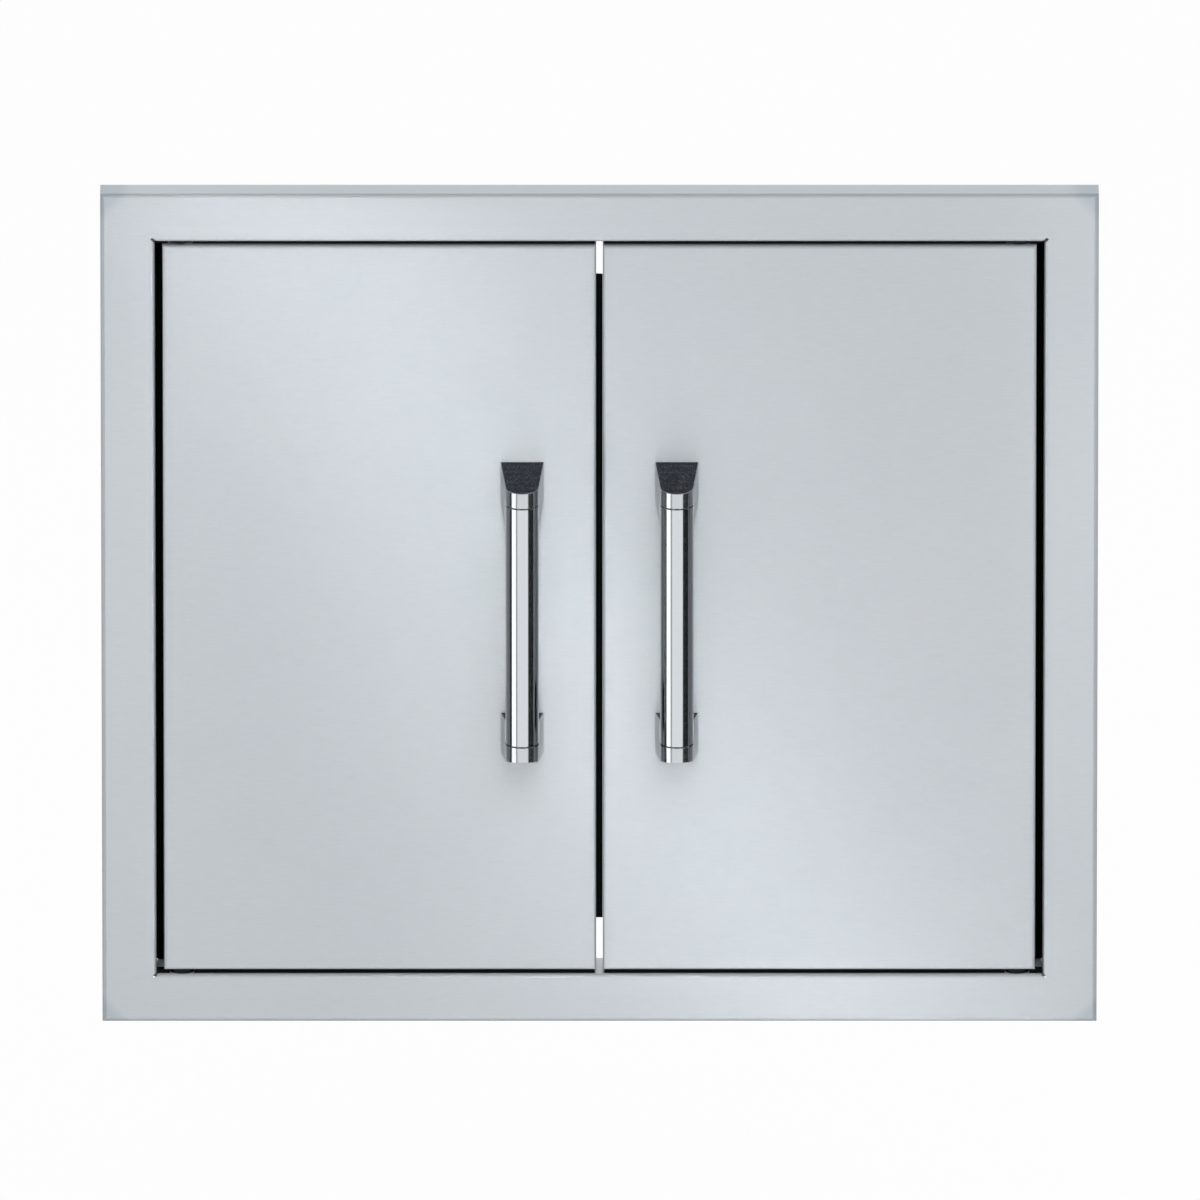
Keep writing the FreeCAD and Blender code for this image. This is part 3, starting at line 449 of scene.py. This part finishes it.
# Zinc-plated steel: bright, slightly blue from its passivation, with spangles 3 mm across
zinc_plate, zinc = finish_material("zinc_plated_steel")
zinc_place = add_node(zinc, "ShaderNodeTexCoord").outputs["Object"]
zinc_spangle = add_node(zinc, "ShaderNodeTexNoise", {
    "Vector": zinc_place, "Scale": 330.0, "Detail": 3.0})
zinc_grain = add_node(zinc, "ShaderNodeTexNoise", {
    "Vector": zinc_place, "Scale": 2600.0, "Detail": 1.0})
zinc_blue = add_node(zinc, "ShaderNodeMix", {
    0: zinc_spangle.outputs[0], 6: colour("#b3bcc6"), 7: colour("#ccccc4")}, data_type="RGBA")
zinc_gloss = add_node(zinc, "ShaderNodeMapRange", {
    "Value": zinc_spangle.outputs[0], "From Min": 0.3, "From Max": 0.7,
    "To Min": 0.24, "To Max": 0.36})
zinc_bump = add_node(zinc, "ShaderNodeBump", {
    "Strength": 0.12, "Distance": 0.00003, "Height": zinc_grain.outputs[0]})
zinc_metal = add_node(zinc, "ShaderNodeBsdfPrincipled", {
    "Base Color": zinc_blue.outputs[2], "Metallic": 1.0, "Roughness": zinc_gloss.outputs[0],
    "Normal": zinc_bump.outputs[0]})
add_node(zinc, "ShaderNodeOutputMaterial", {"Surface": zinc_metal.outputs[0]})
dress(zinc_plate, "catch_poles")


# Catch screws. Eight zinc-plated pan-head screws, 4 mm, with cross recesses, two to a catch.
# Each is left where its driver stopped, so the crosses stand at different angles.
def new_tree(name, sizes):
    """An empty node tree with a geometry socket each way and a named input for every size."""
    tree = bpy.data.node_groups.new(name, "GeometryNodeTree")
    tree.interface.new_socket("Geometry", in_out="INPUT", socket_type="NodeSocketGeometry")
    for size, kind in sizes.items():
        tree.interface.new_socket(size, in_out="INPUT", socket_type="NodeSocket" + kind)
    tree.interface.new_socket("Geometry", in_out="OUTPUT", socket_type="NodeSocketGeometry")
    return tree, tree.nodes.new("NodeGroupInput").outputs


def seats(name, places, driven):
    """Points to set pieces on, each with the direction that the piece faces."""
    mesh = bpy.data.meshes.new(name)
    mesh.from_pydata(places, [], [])
    facing_way = mesh.attributes.new("driven", "FLOAT_VECTOR", "POINT")
    for item, way in zip(facing_way.data, driven):
        item.vector = way
    return mesh


def set_on(name, mesh, tree, sizes, body, finish_slot, *stands_for):
    """The plain mesh that a tree makes on its seats, riding on one body in place of its nodes."""
    piece = bpy.data.objects.new(name, mesh)
    bpy.context.scene.collection.objects.link(piece)
    maker = piece.modifiers.new("maker", "NODES")
    maker.node_group = tree
    for item in tree.interface.items_tree:
        if item.in_out == "INPUT" and item.name in sizes:
            maker[item.identifier] = sizes[item.name]
    ready = piece.evaluated_get(bpy.context.evaluated_depsgraph_get())
    made = bpy.data.meshes.new_from_object(ready)
    piece.modifiers.remove(maker)
    piece.data = made
    made.name = name
    made.shade_smooth()
    made.set_sharp_from_angle(angle=math.radians(35))
    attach(piece, body)
    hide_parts(*stands_for)
    return piece


screw_sizes = {"Head Radius": "Float", "Seat Radius": "Float", "Head Height": "Float",
               "Top": "Float", "Dome": "Float", "Shank Radius": "Float", "Length": "Float",
               "Recess Depth": "Float", "Metal": "Material"}
screw_tree, size_of = new_tree("cross_recess_screws", screw_sizes)

# The head is a cone whose top falls away towards its rim, along a power of the distance
dome_power = 2.5
head_cone = add_node(screw_tree, "GeometryNodeMeshCone", {
    "Vertices": 32, "Fill Segments": 4, "Radius Top": size_of["Head Radius"],
    "Radius Bottom": size_of["Seat Radius"], "Depth": size_of["Head Height"]})
head_place = add_node(screw_tree, "GeometryNodeInputPosition")
head_flat = add_node(screw_tree, "ShaderNodeVectorMath", {
    0: head_place.outputs[0], 1: (1, 1, 0)}, operation="MULTIPLY")
head_reach = add_node(screw_tree, "ShaderNodeVectorMath", {
    0: head_flat.outputs[0]}, operation="LENGTH")
reach_share = add_node(screw_tree, "ShaderNodeMath", {
    0: head_reach.outputs["Value"], 1: size_of["Head Radius"]}, operation="DIVIDE")
share_curved = add_node(screw_tree, "ShaderNodeMath", {
    0: reach_share.outputs[0], 1: dome_power}, operation="POWER")
fallen = add_node(screw_tree, "ShaderNodeMath", {
    0: share_curved.outputs[0], 1: size_of["Dome"]}, operation="MULTIPLY")
fall_down = add_node(screw_tree, "ShaderNodeMath", {
    0: fallen.outputs[0], 1: -1.0}, operation="MULTIPLY")
fall_way = add_node(screw_tree, "ShaderNodeCombineXYZ", {"Z": fall_down.outputs[0]})
domed = add_node(screw_tree, "GeometryNodeSetPosition", {
    "Geometry": head_cone.outputs["Mesh"], "Selection": head_cone.outputs["Top"],
    "Offset": fall_way.outputs[0]})
head_low = add_node(screw_tree, "ShaderNodeMath", {
    0: size_of["Top"], 1: size_of["Head Height"]}, operation="SUBTRACT")
head_lift = add_node(screw_tree, "ShaderNodeCombineXYZ", {"Z": head_low.outputs[0]})
head_up = add_node(screw_tree, "GeometryNodeTransform", {
    "Geometry": domed.outputs[0], "Translation": head_lift.outputs[0]})

# The recess is cut by two crossed blocks, whose length and width are in head radii
cross_length, cross_width = 1.15, 0.26
recess_length = add_node(screw_tree, "ShaderNodeMath", {
    0: size_of["Head Radius"], 1: cross_length}, operation="MULTIPLY")
recess_width = add_node(screw_tree, "ShaderNodeMath", {
    0: size_of["Head Radius"], 1: cross_width}, operation="MULTIPLY")
recess_height = add_node(screw_tree, "ShaderNodeMath", {
    0: size_of["Recess Depth"], 1: 2.0}, operation="MULTIPLY")
recess_lift = add_node(screw_tree, "ShaderNodeCombineXYZ", {"Z": size_of["Top"]})
recessed = add_node(screw_tree, "GeometryNodeMeshBoolean", {
    "Mesh 1": head_up.outputs[0]}, operation="DIFFERENCE", solver="EXACT")
for x_side, y_side in ((recess_length, recess_width), (recess_width, recess_length)):
    slot_size = add_node(screw_tree, "ShaderNodeCombineXYZ", {
        "X": x_side.outputs[0], "Y": y_side.outputs[0], "Z": recess_height.outputs[0]})
    slot_block = add_node(screw_tree, "GeometryNodeMeshCube", {"Size": slot_size.outputs[0]})
    slot_up = add_node(screw_tree, "GeometryNodeTransform", {
        "Geometry": slot_block.outputs[0], "Translation": recess_lift.outputs[0]})
    screw_tree.links.new(slot_up.outputs[0], recessed.inputs["Mesh 2"])

# The shank hangs from the head, and both are set on the seats, facing as they were driven
shank = add_node(screw_tree, "GeometryNodeMeshCylinder", {
    "Vertices": 24, "Radius": size_of["Shank Radius"], "Depth": size_of["Length"]})
half_length = add_node(screw_tree, "ShaderNodeMath", {
    0: size_of["Length"], 1: 0.5}, operation="MULTIPLY")
shank_middle = add_node(screw_tree, "ShaderNodeMath", {
    0: head_low.outputs[0], 1: half_length.outputs[0]}, operation="SUBTRACT")
shank_drop = add_node(screw_tree, "ShaderNodeCombineXYZ", {"Z": shank_middle.outputs[0]})
shank_down = add_node(screw_tree, "GeometryNodeTransform", {
    "Geometry": shank.outputs[0], "Translation": shank_drop.outputs[0]})
screw_body = add_node(screw_tree, "GeometryNodeJoinGeometry")
screw_tree.links.new(shank_down.outputs[0], screw_body.inputs[0])
screw_tree.links.new(recessed.outputs[0], screw_body.inputs[0])
driven_way = add_node(screw_tree, "GeometryNodeInputNamedAttribute", {
    "Name": "driven"}, data_type="FLOAT_VECTOR")
facing_out = add_node(screw_tree, "FunctionNodeAlignRotationToVector", {
    "Vector": driven_way.outputs[0]}, axis="Z")
screws_set = add_node(screw_tree, "GeometryNodeInstanceOnPoints", {
    "Points": size_of["Geometry"], "Instance": screw_body.outputs[0],
    "Rotation": facing_out.outputs[0]})

# Each screw stops somewhere within a quarter turn
quarter_turn = 1.57
last_turn = add_node(screw_tree, "FunctionNodeRandomValue", {
    "Min": (0, 0, 0), "Max": (0, 0, quarter_turn), "Seed": 4}, data_type="FLOAT_VECTOR")
screws_turned = add_node(screw_tree, "GeometryNodeRotateInstances", {
    "Instances": screws_set.outputs[0], "Rotation": last_turn.outputs[0]})
screws_real = add_node(screw_tree, "GeometryNodeRealizeInstances", {
    "Geometry": screws_turned.outputs[0]})
screws_metal = add_node(screw_tree, "GeometryNodeSetMaterial", {
    "Geometry": screws_real.outputs[0], "Material": size_of["Metal"]})
add_node(screw_tree, "NodeGroupOutput", {"Geometry": screws_metal.outputs[0]})

pan_head = {"Head Radius": 0.0034, "Seat Radius": 0.0034, "Head Height": 0.0022, "Top": 0.0022,
            "Dome": 0.0009, "Shank Radius": 0.002, "Length": 0.008, "Recess Depth": 0.0012,
            "Metal": zinc_plate}
catch_ear_xs, catch_ear_y, catch_ear_z = (0.0255, 0.0645), 0.007, 0.2502
catch_seats = [(side * x, catch_ear_y, end * catch_ear_z)
               for end in (-1, 1) for side in (-1, 1) for x in catch_ear_xs]
catch_ways = [(0, 0, 1) if z < 0 else (0, 0, -1) for x, y, z in catch_seats]
set_on("catch_pan_screws", seats("catch_screw_seats", catch_seats, catch_ways), screw_tree,
       pan_head, "frame", "plain_steel", "catch_screws")


# Weather strips. Black closed-cell foam tape, 2 mm thick, stuck to the stiffening flange of each
# jamb behind the hinge edge of its door, and inside the head and the sill just behind the face,
# where it stops either side of the bushes. The tape stands for a real weather strip, and its black
# is painted shade: it makes the gaps round the doors black.
def drawn_strip(name, outline, lengths, material, level=False):
    """Lengths of one section in millimetres: (x, y) drawn upwards, or (y, z) drawn to the right."""
    mesh = bmesh.new()
    section = [(a / 1000, b / 1000) for a, b in outline]
    for span in lengths:
        ends = [[mesh.verts.new((t, a, b) if level else (a, b, t)) for a, b in section]
                for t in span]
        for i in range(len(section)):
            after = (i + 1) % len(section)
            mesh.faces.new([ends[0][i], ends[0][after], ends[1][after], ends[1][i]])
        for end_points in ends:
            mesh.faces.new(end_points)
    bmesh.ops.recalc_face_normals(mesh, faces=mesh.faces[:])
    shape = bpy.data.meshes.new(name)
    mesh.to_mesh(shape)
    mesh.free()
    shape.shade_smooth()
    shape.set_sharp_from_angle(angle=math.radians(40))
    shape.materials.append(material)
    strip = bpy.data.objects.new(name, shape)
    bpy.context.scene.collection.objects.link(strip)
    return strip


# Closed-cell foam: soot black, as painted shade in the gaps, with open pits 0.6 mm across where the
# cells were cut
shade_black_foam, foam = finish_material("closed_cell_foam_shade")
foam_place = add_node(foam, "ShaderNodeTexCoord").outputs["Object"]
foam_cells = add_node(foam, "ShaderNodeTexVoronoi", {"Vector": foam_place, "Scale": 1600.0})
foam_shade_black = add_node(foam, "ShaderNodeMix", {
    0: foam_cells.outputs["Distance"], 6: colour("#0a0a0b"), 7: colour("#151516")},
    data_type="RGBA")
foam_bump = add_node(foam, "ShaderNodeBump", {
    "Strength": 0.5, "Distance": 0.0001, "Height": foam_cells.outputs["Distance"]})
foam_skin = add_node(foam, "ShaderNodeBsdfPrincipled", {
    "Base Color": foam_shade_black.outputs[2], "Roughness": 0.95, "Specular IOR Level": 0.2,
    "Normal": foam_bump.outputs[0]})
add_node(foam, "ShaderNodeOutputMaterial", {"Surface": foam_skin.outputs[0]})

left_and_right = (("left", -1), ("right", 1))
tape_reach = 0.2526
tape_outline = [(283.2, 11.05), (283.2, 9.8), (283.9, 9.1), (293.4, 9.1), (294.1, 9.8),
                (294.1, 10.2), (293.3, 11.05)]
# Painted shade: black strips deep in the hinge gaps
for side_name, side in left_and_right:
    side_outline = [(side * x, y) for x, y in tape_outline]
    tape = drawn_strip(side_name + "_jamb_strip", side_outline, [(-tape_reach, tape_reach)],
                       shade_black_foam)
    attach(tape, "frame")
throat_z = 253.2
level_outline = [(-21.6, 0), (-21.6, 1.7), (-21.3, 2.0), (-13.9, 2.0), (-13.6, 1.7), (-13.6, 0)]
runs_by_bush = ((0.0032, 0.2690), (0.2855, 0.2939))
# Painted shade: black strips in the gaps over and under the doors
for side_name, side in left_and_right:
    for end, way in (("sill", -1), ("head", 1)):
        end_outline = [(y, way * (throat_z - thick)) for y, thick in level_outline]
        runs = [(side * start, side * stop) for start, stop in runs_by_bush]
        tape = drawn_strip(side_name + "_" + end + "_strip", end_outline, runs, shade_black_foam,
                           level=True)
        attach(tape, "frame")


# Door skins. Each is a pan of 1.2 mm sheet from the same brushed coil, with its four edges
# folded back and lipped, and its corners closed by a weld.
dress(brushed_stainless, "left_door_skin", "right_door_skin")


# Lower pins, pin brackets and release levers. The plate of the lower pin and the channel that
# guides the spring pin are spot welded in the pan; the lever is pressed on its pin.
door_sides = ("left", "right")
dress(mill_stainless, *[side + "_" + piece for side in door_sides
                        for piece in ("pin_bracket", "release_lever")])

# Turned 303 stainless: bright, with the tool's rings round it, 0.1 mm apart on the real pin and
# drawn at 0.4 mm
turned_stainless, turned = finish_material("turned_303_stainless")
turned_place = add_node(turned, "ShaderNodeTexCoord").outputs["Object"]
ring_stretch = add_node(turned, "ShaderNodeMapping", {
    "Vector": turned_place, "Scale": (40, 40, 2500)})
tool_rings = add_node(turned, "ShaderNodeTexNoise", {
    "Vector": ring_stretch.outputs[0], "Scale": 1.0, "Detail": 2.0})
turned_grey = add_node(turned, "ShaderNodeMix", {
    0: tool_rings.outputs[0], 6: colour("#b6b9bc"), 7: colour("#d0d3d6")}, data_type="RGBA")
turned_gloss = add_node(turned, "ShaderNodeMapRange", {
    "Value": tool_rings.outputs[0], "From Min": 0.3, "From Max": 0.7,
    "To Min": 0.16, "To Max": 0.26})
turned_bump = add_node(turned, "ShaderNodeBump", {
    "Strength": 0.2, "Distance": 0.00004, "Height": tool_rings.outputs[0]})
turned_metal = add_node(turned, "ShaderNodeBsdfPrincipled", {
    "Base Color": turned_grey.outputs[2], "Metallic": 1.0, "Roughness": turned_gloss.outputs[0],
    "Normal": turned_bump.outputs[0]})
add_node(turned, "ShaderNodeOutputMaterial", {"Surface": turned_metal.outputs[0]})
dress(turned_stainless, *[side + "_" + piece for side in door_sides
                          for piece in ("lower_pin", "spring_pin")])


# Pin springs. Seven turns of 1 mm drawn stainless wire round each spring pin, between its bracket
# and its collar. On the real door they shorten when the lever draws the pin down; here each is
# drawn at one length.

# Drawn wire: a darker, slightly brown bright finish with faint die marks 0.6 mm apart
spring_wire, wire = finish_material("drawn_302_spring_wire")
wire_place = add_node(wire, "ShaderNodeTexCoord").outputs["Object"]
die_lines = add_node(wire, "ShaderNodeTexNoise", {
    "Vector": wire_place, "Scale": 1800.0, "Detail": 2.0})
wire_grey = add_node(wire, "ShaderNodeMix", {
    0: die_lines.outputs[0], 6: colour("#8f8d8a"), 7: colour("#b3b2af")}, data_type="RGBA")
wire_gloss = add_node(wire, "ShaderNodeMapRange", {
    "Value": die_lines.outputs[0], "From Min": 0.3, "From Max": 0.7,
    "To Min": 0.22, "To Max": 0.34})
wire_metal = add_node(wire, "ShaderNodeBsdfPrincipled", {
    "Base Color": wire_grey.outputs[2], "Metallic": 1.0, "Roughness": wire_gloss.outputs[0]})
add_node(wire, "ShaderNodeOutputMaterial", {"Surface": wire_metal.outputs[0]})

spring_sizes = {"Coil Radius": "Float", "Wire Radius": "Float", "Turns": "Float",
                "Height": "Float", "Wire": "Material"}
spring_tree, coil_of = new_tree("coil_springs", spring_sizes)
coil_line = add_node(spring_tree, "GeometryNodeCurveSpiral", {
    "Resolution": 28, "Rotations": coil_of["Turns"], "Start Radius": coil_of["Coil Radius"],
    "End Radius": coil_of["Coil Radius"], "Height": coil_of["Height"]})
wire_round = add_node(spring_tree, "GeometryNodeCurvePrimitiveCircle", {
    "Resolution": 12, "Radius": coil_of["Wire Radius"]})
coil = add_node(spring_tree, "GeometryNodeCurveToMesh", {
    "Curve": coil_line.outputs[0], "Profile Curve": wire_round.outputs[0], "Fill Caps": True})
coils_set = add_node(spring_tree, "GeometryNodeInstanceOnPoints", {
    "Points": coil_of["Geometry"], "Instance": coil.outputs[0]})
coils_real = add_node(spring_tree, "GeometryNodeRealizeInstances", {
    "Geometry": coils_set.outputs[0]})
coils_metal = add_node(spring_tree, "GeometryNodeSetMaterial", {
    "Geometry": coils_real.outputs[0], "Material": coil_of["Wire"]})
add_node(spring_tree, "NodeGroupOutput", {"Geometry": coils_metal.outputs[0]})

pin_coil = {"Coil Radius": 0.0043, "Wire Radius": 0.0005, "Turns": 7.0, "Height": 0.0224,
            "Wire": spring_wire}
pivot_x, pivot_y = 0.27725, -0.0154
spring_foot, spring_full, spring_pressed = 0.214, 0.0235, 0.014
wire_lift = 0.00055
for side_name, side in left_and_right:
    spring_seat = seats(side_name + "_spring_seat",
                        [(side * pivot_x, pivot_y, spring_foot + wire_lift)], [(0, 0, 1)])
    spring = set_on(side_name + "_coil_spring", spring_seat, spring_tree, pin_coil,
                    side_name + "_door", "spring_wire", side_name + "_pin_spring")
    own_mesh(spring)


# Door liners. A 1 mm inner sheet closes the rear of each pan, its border joggled in behind the
# lips so that the two come flush. It isn't brushed, as it faces into the island.
dress(mill_stainless, *[side + "_door_liner" for side in door_sides])


# Strike plates. Zinc-plated steel plates on the rear lips, which the catches' poles draw to,
# each held by two countersunk screws with cross recesses.
dress(zinc_plate, *[side + "_" + end + "_strike" for side in door_sides
                    for end in ("lower", "upper")])
sunk_head = {"Head Radius": 0.0028, "Seat Radius": 0.0015, "Head Height": 0.0015, "Top": 0.0,
             "Dome": 0.0, "Shank Radius": 0.0015, "Length": 0.0045, "Recess Depth": 0.0009,
             "Metal": zinc_plate}
strike_rear_y, strike_screw_zs, strike_screw_xs = 0.0011, (-0.2418, 0.2422), (0.031, 0.059)
for side_name, side in left_and_right:
    strike_seats = [(side * x, strike_rear_y, z) for z in strike_screw_zs for x in strike_screw_xs]
    set_on(side_name + "_strike_sunk_screws",
           seats(side_name + "_strike_seats", strike_seats, [(0, 1, 0)] * 4), screw_tree,
           sunk_head, side_name + "_door", "plain_steel", side_name + "_strike_screws")


# Meeting seal. An extruded rubber strip stuck behind the left door's free edge, with two
# grooves in its back and a thin fin that reaches across the gap to the right door.

# EPDM rubber: black, dull, with faint lines 0.6 mm apart along the extrusion
black_rubber, rubber = finish_material("extruded_black_epdm")
rubber_place = add_node(rubber, "ShaderNodeTexCoord").outputs["Object"]
draw_stretch = add_node(rubber, "ShaderNodeMapping", {
    "Vector": rubber_place, "Scale": (1800, 1800, 25)})
draw_lines = add_node(rubber, "ShaderNodeTexNoise", {
    "Vector": draw_stretch.outputs[0], "Scale": 1.0, "Detail": 2.0})
rubber_black = add_node(rubber, "ShaderNodeMix", {
    0: draw_lines.outputs[0], 6: colour("#0c0c0d"), 7: colour("#1a1a1b")}, data_type="RGBA")
rubber_bump = add_node(rubber, "ShaderNodeBump", {
    "Strength": 0.25, "Distance": 0.00005, "Height": draw_lines.outputs[0]})
rubber_skin = add_node(rubber, "ShaderNodeBsdfPrincipled", {
    "Base Color": rubber_black.outputs[2], "Roughness": 0.7, "Specular IOR Level": 0.35,
    "Normal": rubber_bump.outputs[0]})
add_node(rubber, "ShaderNodeOutputMaterial", {"Surface": rubber_skin.outputs[0]})
seal_outline = [(-14.25, -0.4), (1.6, -0.4), (1.95, -0.25), (2.1, 0.05), (2.05, 0.35),
                (1.7, 0.6), (-2.25, 1.45), (-2.6, 1.6), (-4.6, 1.6), (-5.0, 1.2), (-5.4, 1.6),
                (-10.8, 1.6), (-11.2, 1.2), (-11.6, 1.6), (-13.7, 1.6), (-14.25, 1.05)]
seal_low, seal_high = -0.221, 0.224
fin_seal = drawn_strip("meeting_fin_seal", seal_outline, [(seal_low, seal_high)], black_rubber)
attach(fin_seal, "left_door")
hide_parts("meeting_seal")


# Handle tubes. Drawn 304 tube, 22.2 mm, polished on a belt, so that it mirrors the room with
# slightly ragged edges.

# Polished stainless: pale, nearly a mirror. The belt leaves hair lines round the tube, 0.02 mm
# apart and drawn at 0.6 mm.
polished_tube, tube = finish_material("polished_304_tube")
tube_place = add_node(tube, "ShaderNodeTexCoord").outputs["Object"]
belt_stretch = add_node(tube, "ShaderNodeMapping", {
    "Vector": tube_place, "Scale": (120, 120, 1700)})
belt_lines = add_node(tube, "ShaderNodeTexNoise", {
    "Vector": belt_stretch.outputs[0], "Scale": 1.0, "Detail": 3.0})
tube_grey = add_node(tube, "ShaderNodeMix", {
    0: belt_lines.outputs[0], 6: colour("#cfd4d9"), 7: colour("#dbdfe4")}, data_type="RGBA")
tube_gloss = add_node(tube, "ShaderNodeMapRange", {
    "Value": belt_lines.outputs[0], "From Min": 0.3, "From Max": 0.7,
    "To Min": 0.09, "To Max": 0.14})
tube_bump = add_node(tube, "ShaderNodeBump", {
    "Strength": 0.15, "Distance": 0.00003, "Height": belt_lines.outputs[0]})
tube_metal = add_node(tube, "ShaderNodeBsdfPrincipled", {
    "Base Color": tube_grey.outputs[2], "Metallic": 1.0, "Roughness": tube_gloss.outputs[0],
    "Normal": tube_bump.outputs[0]})
add_node(tube, "ShaderNodeOutputMaterial", {"Surface": tube_metal.outputs[0]})
dress(polished_tube, *[side + "_handle_tube" for side in door_sides])


# Handle posts. Investment castings in stainless, ground and mopped to a satin shine, with the
# thin rims round their end pockets left crisp and only just eased.

# Mopped cast stainless: like the tube but softer, with a faint ripple 4 mm across from grinding
cast_stainless, cast = finish_material("mopped_cast_316_stainless")
cast_place = add_node(cast, "ShaderNodeTexCoord").outputs["Object"]
cast_ripple = add_node(cast, "ShaderNodeTexNoise", {
    "Vector": cast_place, "Scale": 250.0, "Detail": 2.0})
mop_lines = add_node(cast, "ShaderNodeTexNoise", {
    "Vector": cast_place, "Scale": 2400.0, "Detail": 2.0})
cast_grey = add_node(cast, "ShaderNodeMix", {
    0: mop_lines.outputs[0], 6: colour("#c8cdd2"), 7: colour("#d6dade")}, data_type="RGBA")
cast_gloss = add_node(cast, "ShaderNodeMapRange", {
    "Value": mop_lines.outputs[0], "From Min": 0.3, "From Max": 0.7,
    "To Min": 0.11, "To Max": 0.17})
cast_bump = add_node(cast, "ShaderNodeBump", {
    "Strength": 0.05, "Distance": 0.0001, "Height": cast_ripple.outputs[0]})
cast_metal = add_node(cast, "ShaderNodeBsdfPrincipled", {
    "Base Color": cast_grey.outputs[2], "Metallic": 1.0, "Roughness": cast_gloss.outputs[0],
    "Normal": cast_bump.outputs[0]})
add_node(cast, "ShaderNodeOutputMaterial", {"Surface": cast_metal.outputs[0]})

edge_easing, crisp_fold = 0.00012, math.radians(28)
same_place, same_plane = 0.000002, math.radians(0.5)
for side_name in door_sides:
    for end in ("lower", "upper"):
        node_name = side_name + "_" + end + "_post"
        casting = bmesh.new()
        casting.from_mesh(nodes[node_name].data)
        bmesh.ops.remove_doubles(casting, verts=casting.verts[:], dist=same_place)
        bmesh.ops.dissolve_limit(casting, angle_limit=same_plane, verts=casting.verts[:],
                                 edges=casting.edges[:])
        crisp = [e for e in casting.edges if e.is_manifold and e.calc_face_angle() > crisp_fold]
        bmesh.ops.bevel(casting, geom=crisp, offset=edge_easing, offset_type="OFFSET", segments=2,
                        profile=0.5, affect="EDGES", clamp_overlap=True)
        shape = bpy.data.meshes.new(node_name + "_casting")
        casting.to_mesh(shape)
        casting.free()
        shape.materials.clear()
        shape.materials.append(cast_stainless)
        shape.shade_smooth()
        shape.set_sharp_from_angle(angle=math.radians(30))
        post = bpy.data.objects.new(node_name + "_casting", shape)
        bpy.context.scene.collection.objects.link(post)
        flats_first = post.modifiers.new("flats_first", "WEIGHTED_NORMAL")
        flats_first.keep_sharp = True
        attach(post, side_name + "_door")
        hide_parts(node_name)


# End caps and infills. The caps are plates of glass-filled nylon moulded with a leather-like
# texture, pegged into the outer pockets of the posts a hair below their rims. Smooth black plugs
# fill the pockets at the inner ends; their black, deeper than the caps, is partly painted shade
# from the tube and post above them.

# Textured nylon: dark slate, with the paler grains of its mould texture 1.25 mm apart, and worn
# smooth in patches 6 mm across where hands rest
textured_nylon, nylon = finish_material("textured_glass_filled_nylon")
nylon_place = add_node(nylon, "ShaderNodeTexCoord").outputs["Object"]
nylon_grains = add_node(nylon, "ShaderNodeTexVoronoi", {
    "Vector": nylon_place, "Scale": 800.0, "Randomness": 0.7})
nylon_wear = add_node(nylon, "ShaderNodeTexNoise", {
    "Vector": nylon_place, "Scale": 160.0, "Detail": 2.0})
nylon_pores = add_node(nylon, "ShaderNodeTexVoronoi", {"Vector": nylon_place, "Scale": 1400.0})
grain_peak = add_node(nylon, "ShaderNodeMapRange", {
    "Value": nylon_grains.outputs["Distance"], "From Min": 0.50, "From Max": 0.12})
grain_share = add_node(nylon, "ShaderNodeMapRange", {
    "Value": nylon_wear.outputs[0], "From Min": 0.35, "From Max": 0.6,
    "To Min": 0.3, "To Max": 1.0})
nylon_ramp = add_node(nylon, "ShaderNodeMath", {
    0: grain_peak.outputs[0], 1: grain_share.outputs[0]}, operation="MULTIPLY")
nylon_slate = add_node(nylon, "ShaderNodeMix", {
    0: nylon_ramp.outputs[0], 6: colour("#1b1f28"), 7: colour("#70757f")}, data_type="RGBA")
nylon_bump = add_node(nylon, "ShaderNodeBump", {
    "Strength": 0.4, "Distance": 0.00006, "Height": nylon_pores.outputs["Distance"]})
nylon_skin = add_node(nylon, "ShaderNodeBsdfPrincipled", {
    "Base Color": nylon_slate.outputs[2], "Roughness": 0.6, "IOR": 1.53, "Specular IOR Level": 0.35,
    "Normal": nylon_bump.outputs[0]})
add_node(nylon, "ShaderNodeOutputMaterial", {"Surface": nylon_skin.outputs[0]})
for side_name in door_sides:
    for end in ("lower", "upper"):
        dress(textured_nylon, side_name + "_" + end + "_end_cap")
        # The infills' black is partly painted shade of the tube and post
        dress(black_acetal, side_name + "_" + end + "_infill")


# Handle screws and washers. Driven from inside each pan into the feet of the posts, before the
# liner goes in.
dress(zinc_plate, *[side + "_handle_" + piece for side in door_sides
                    for piece in ("screws", "washers")])
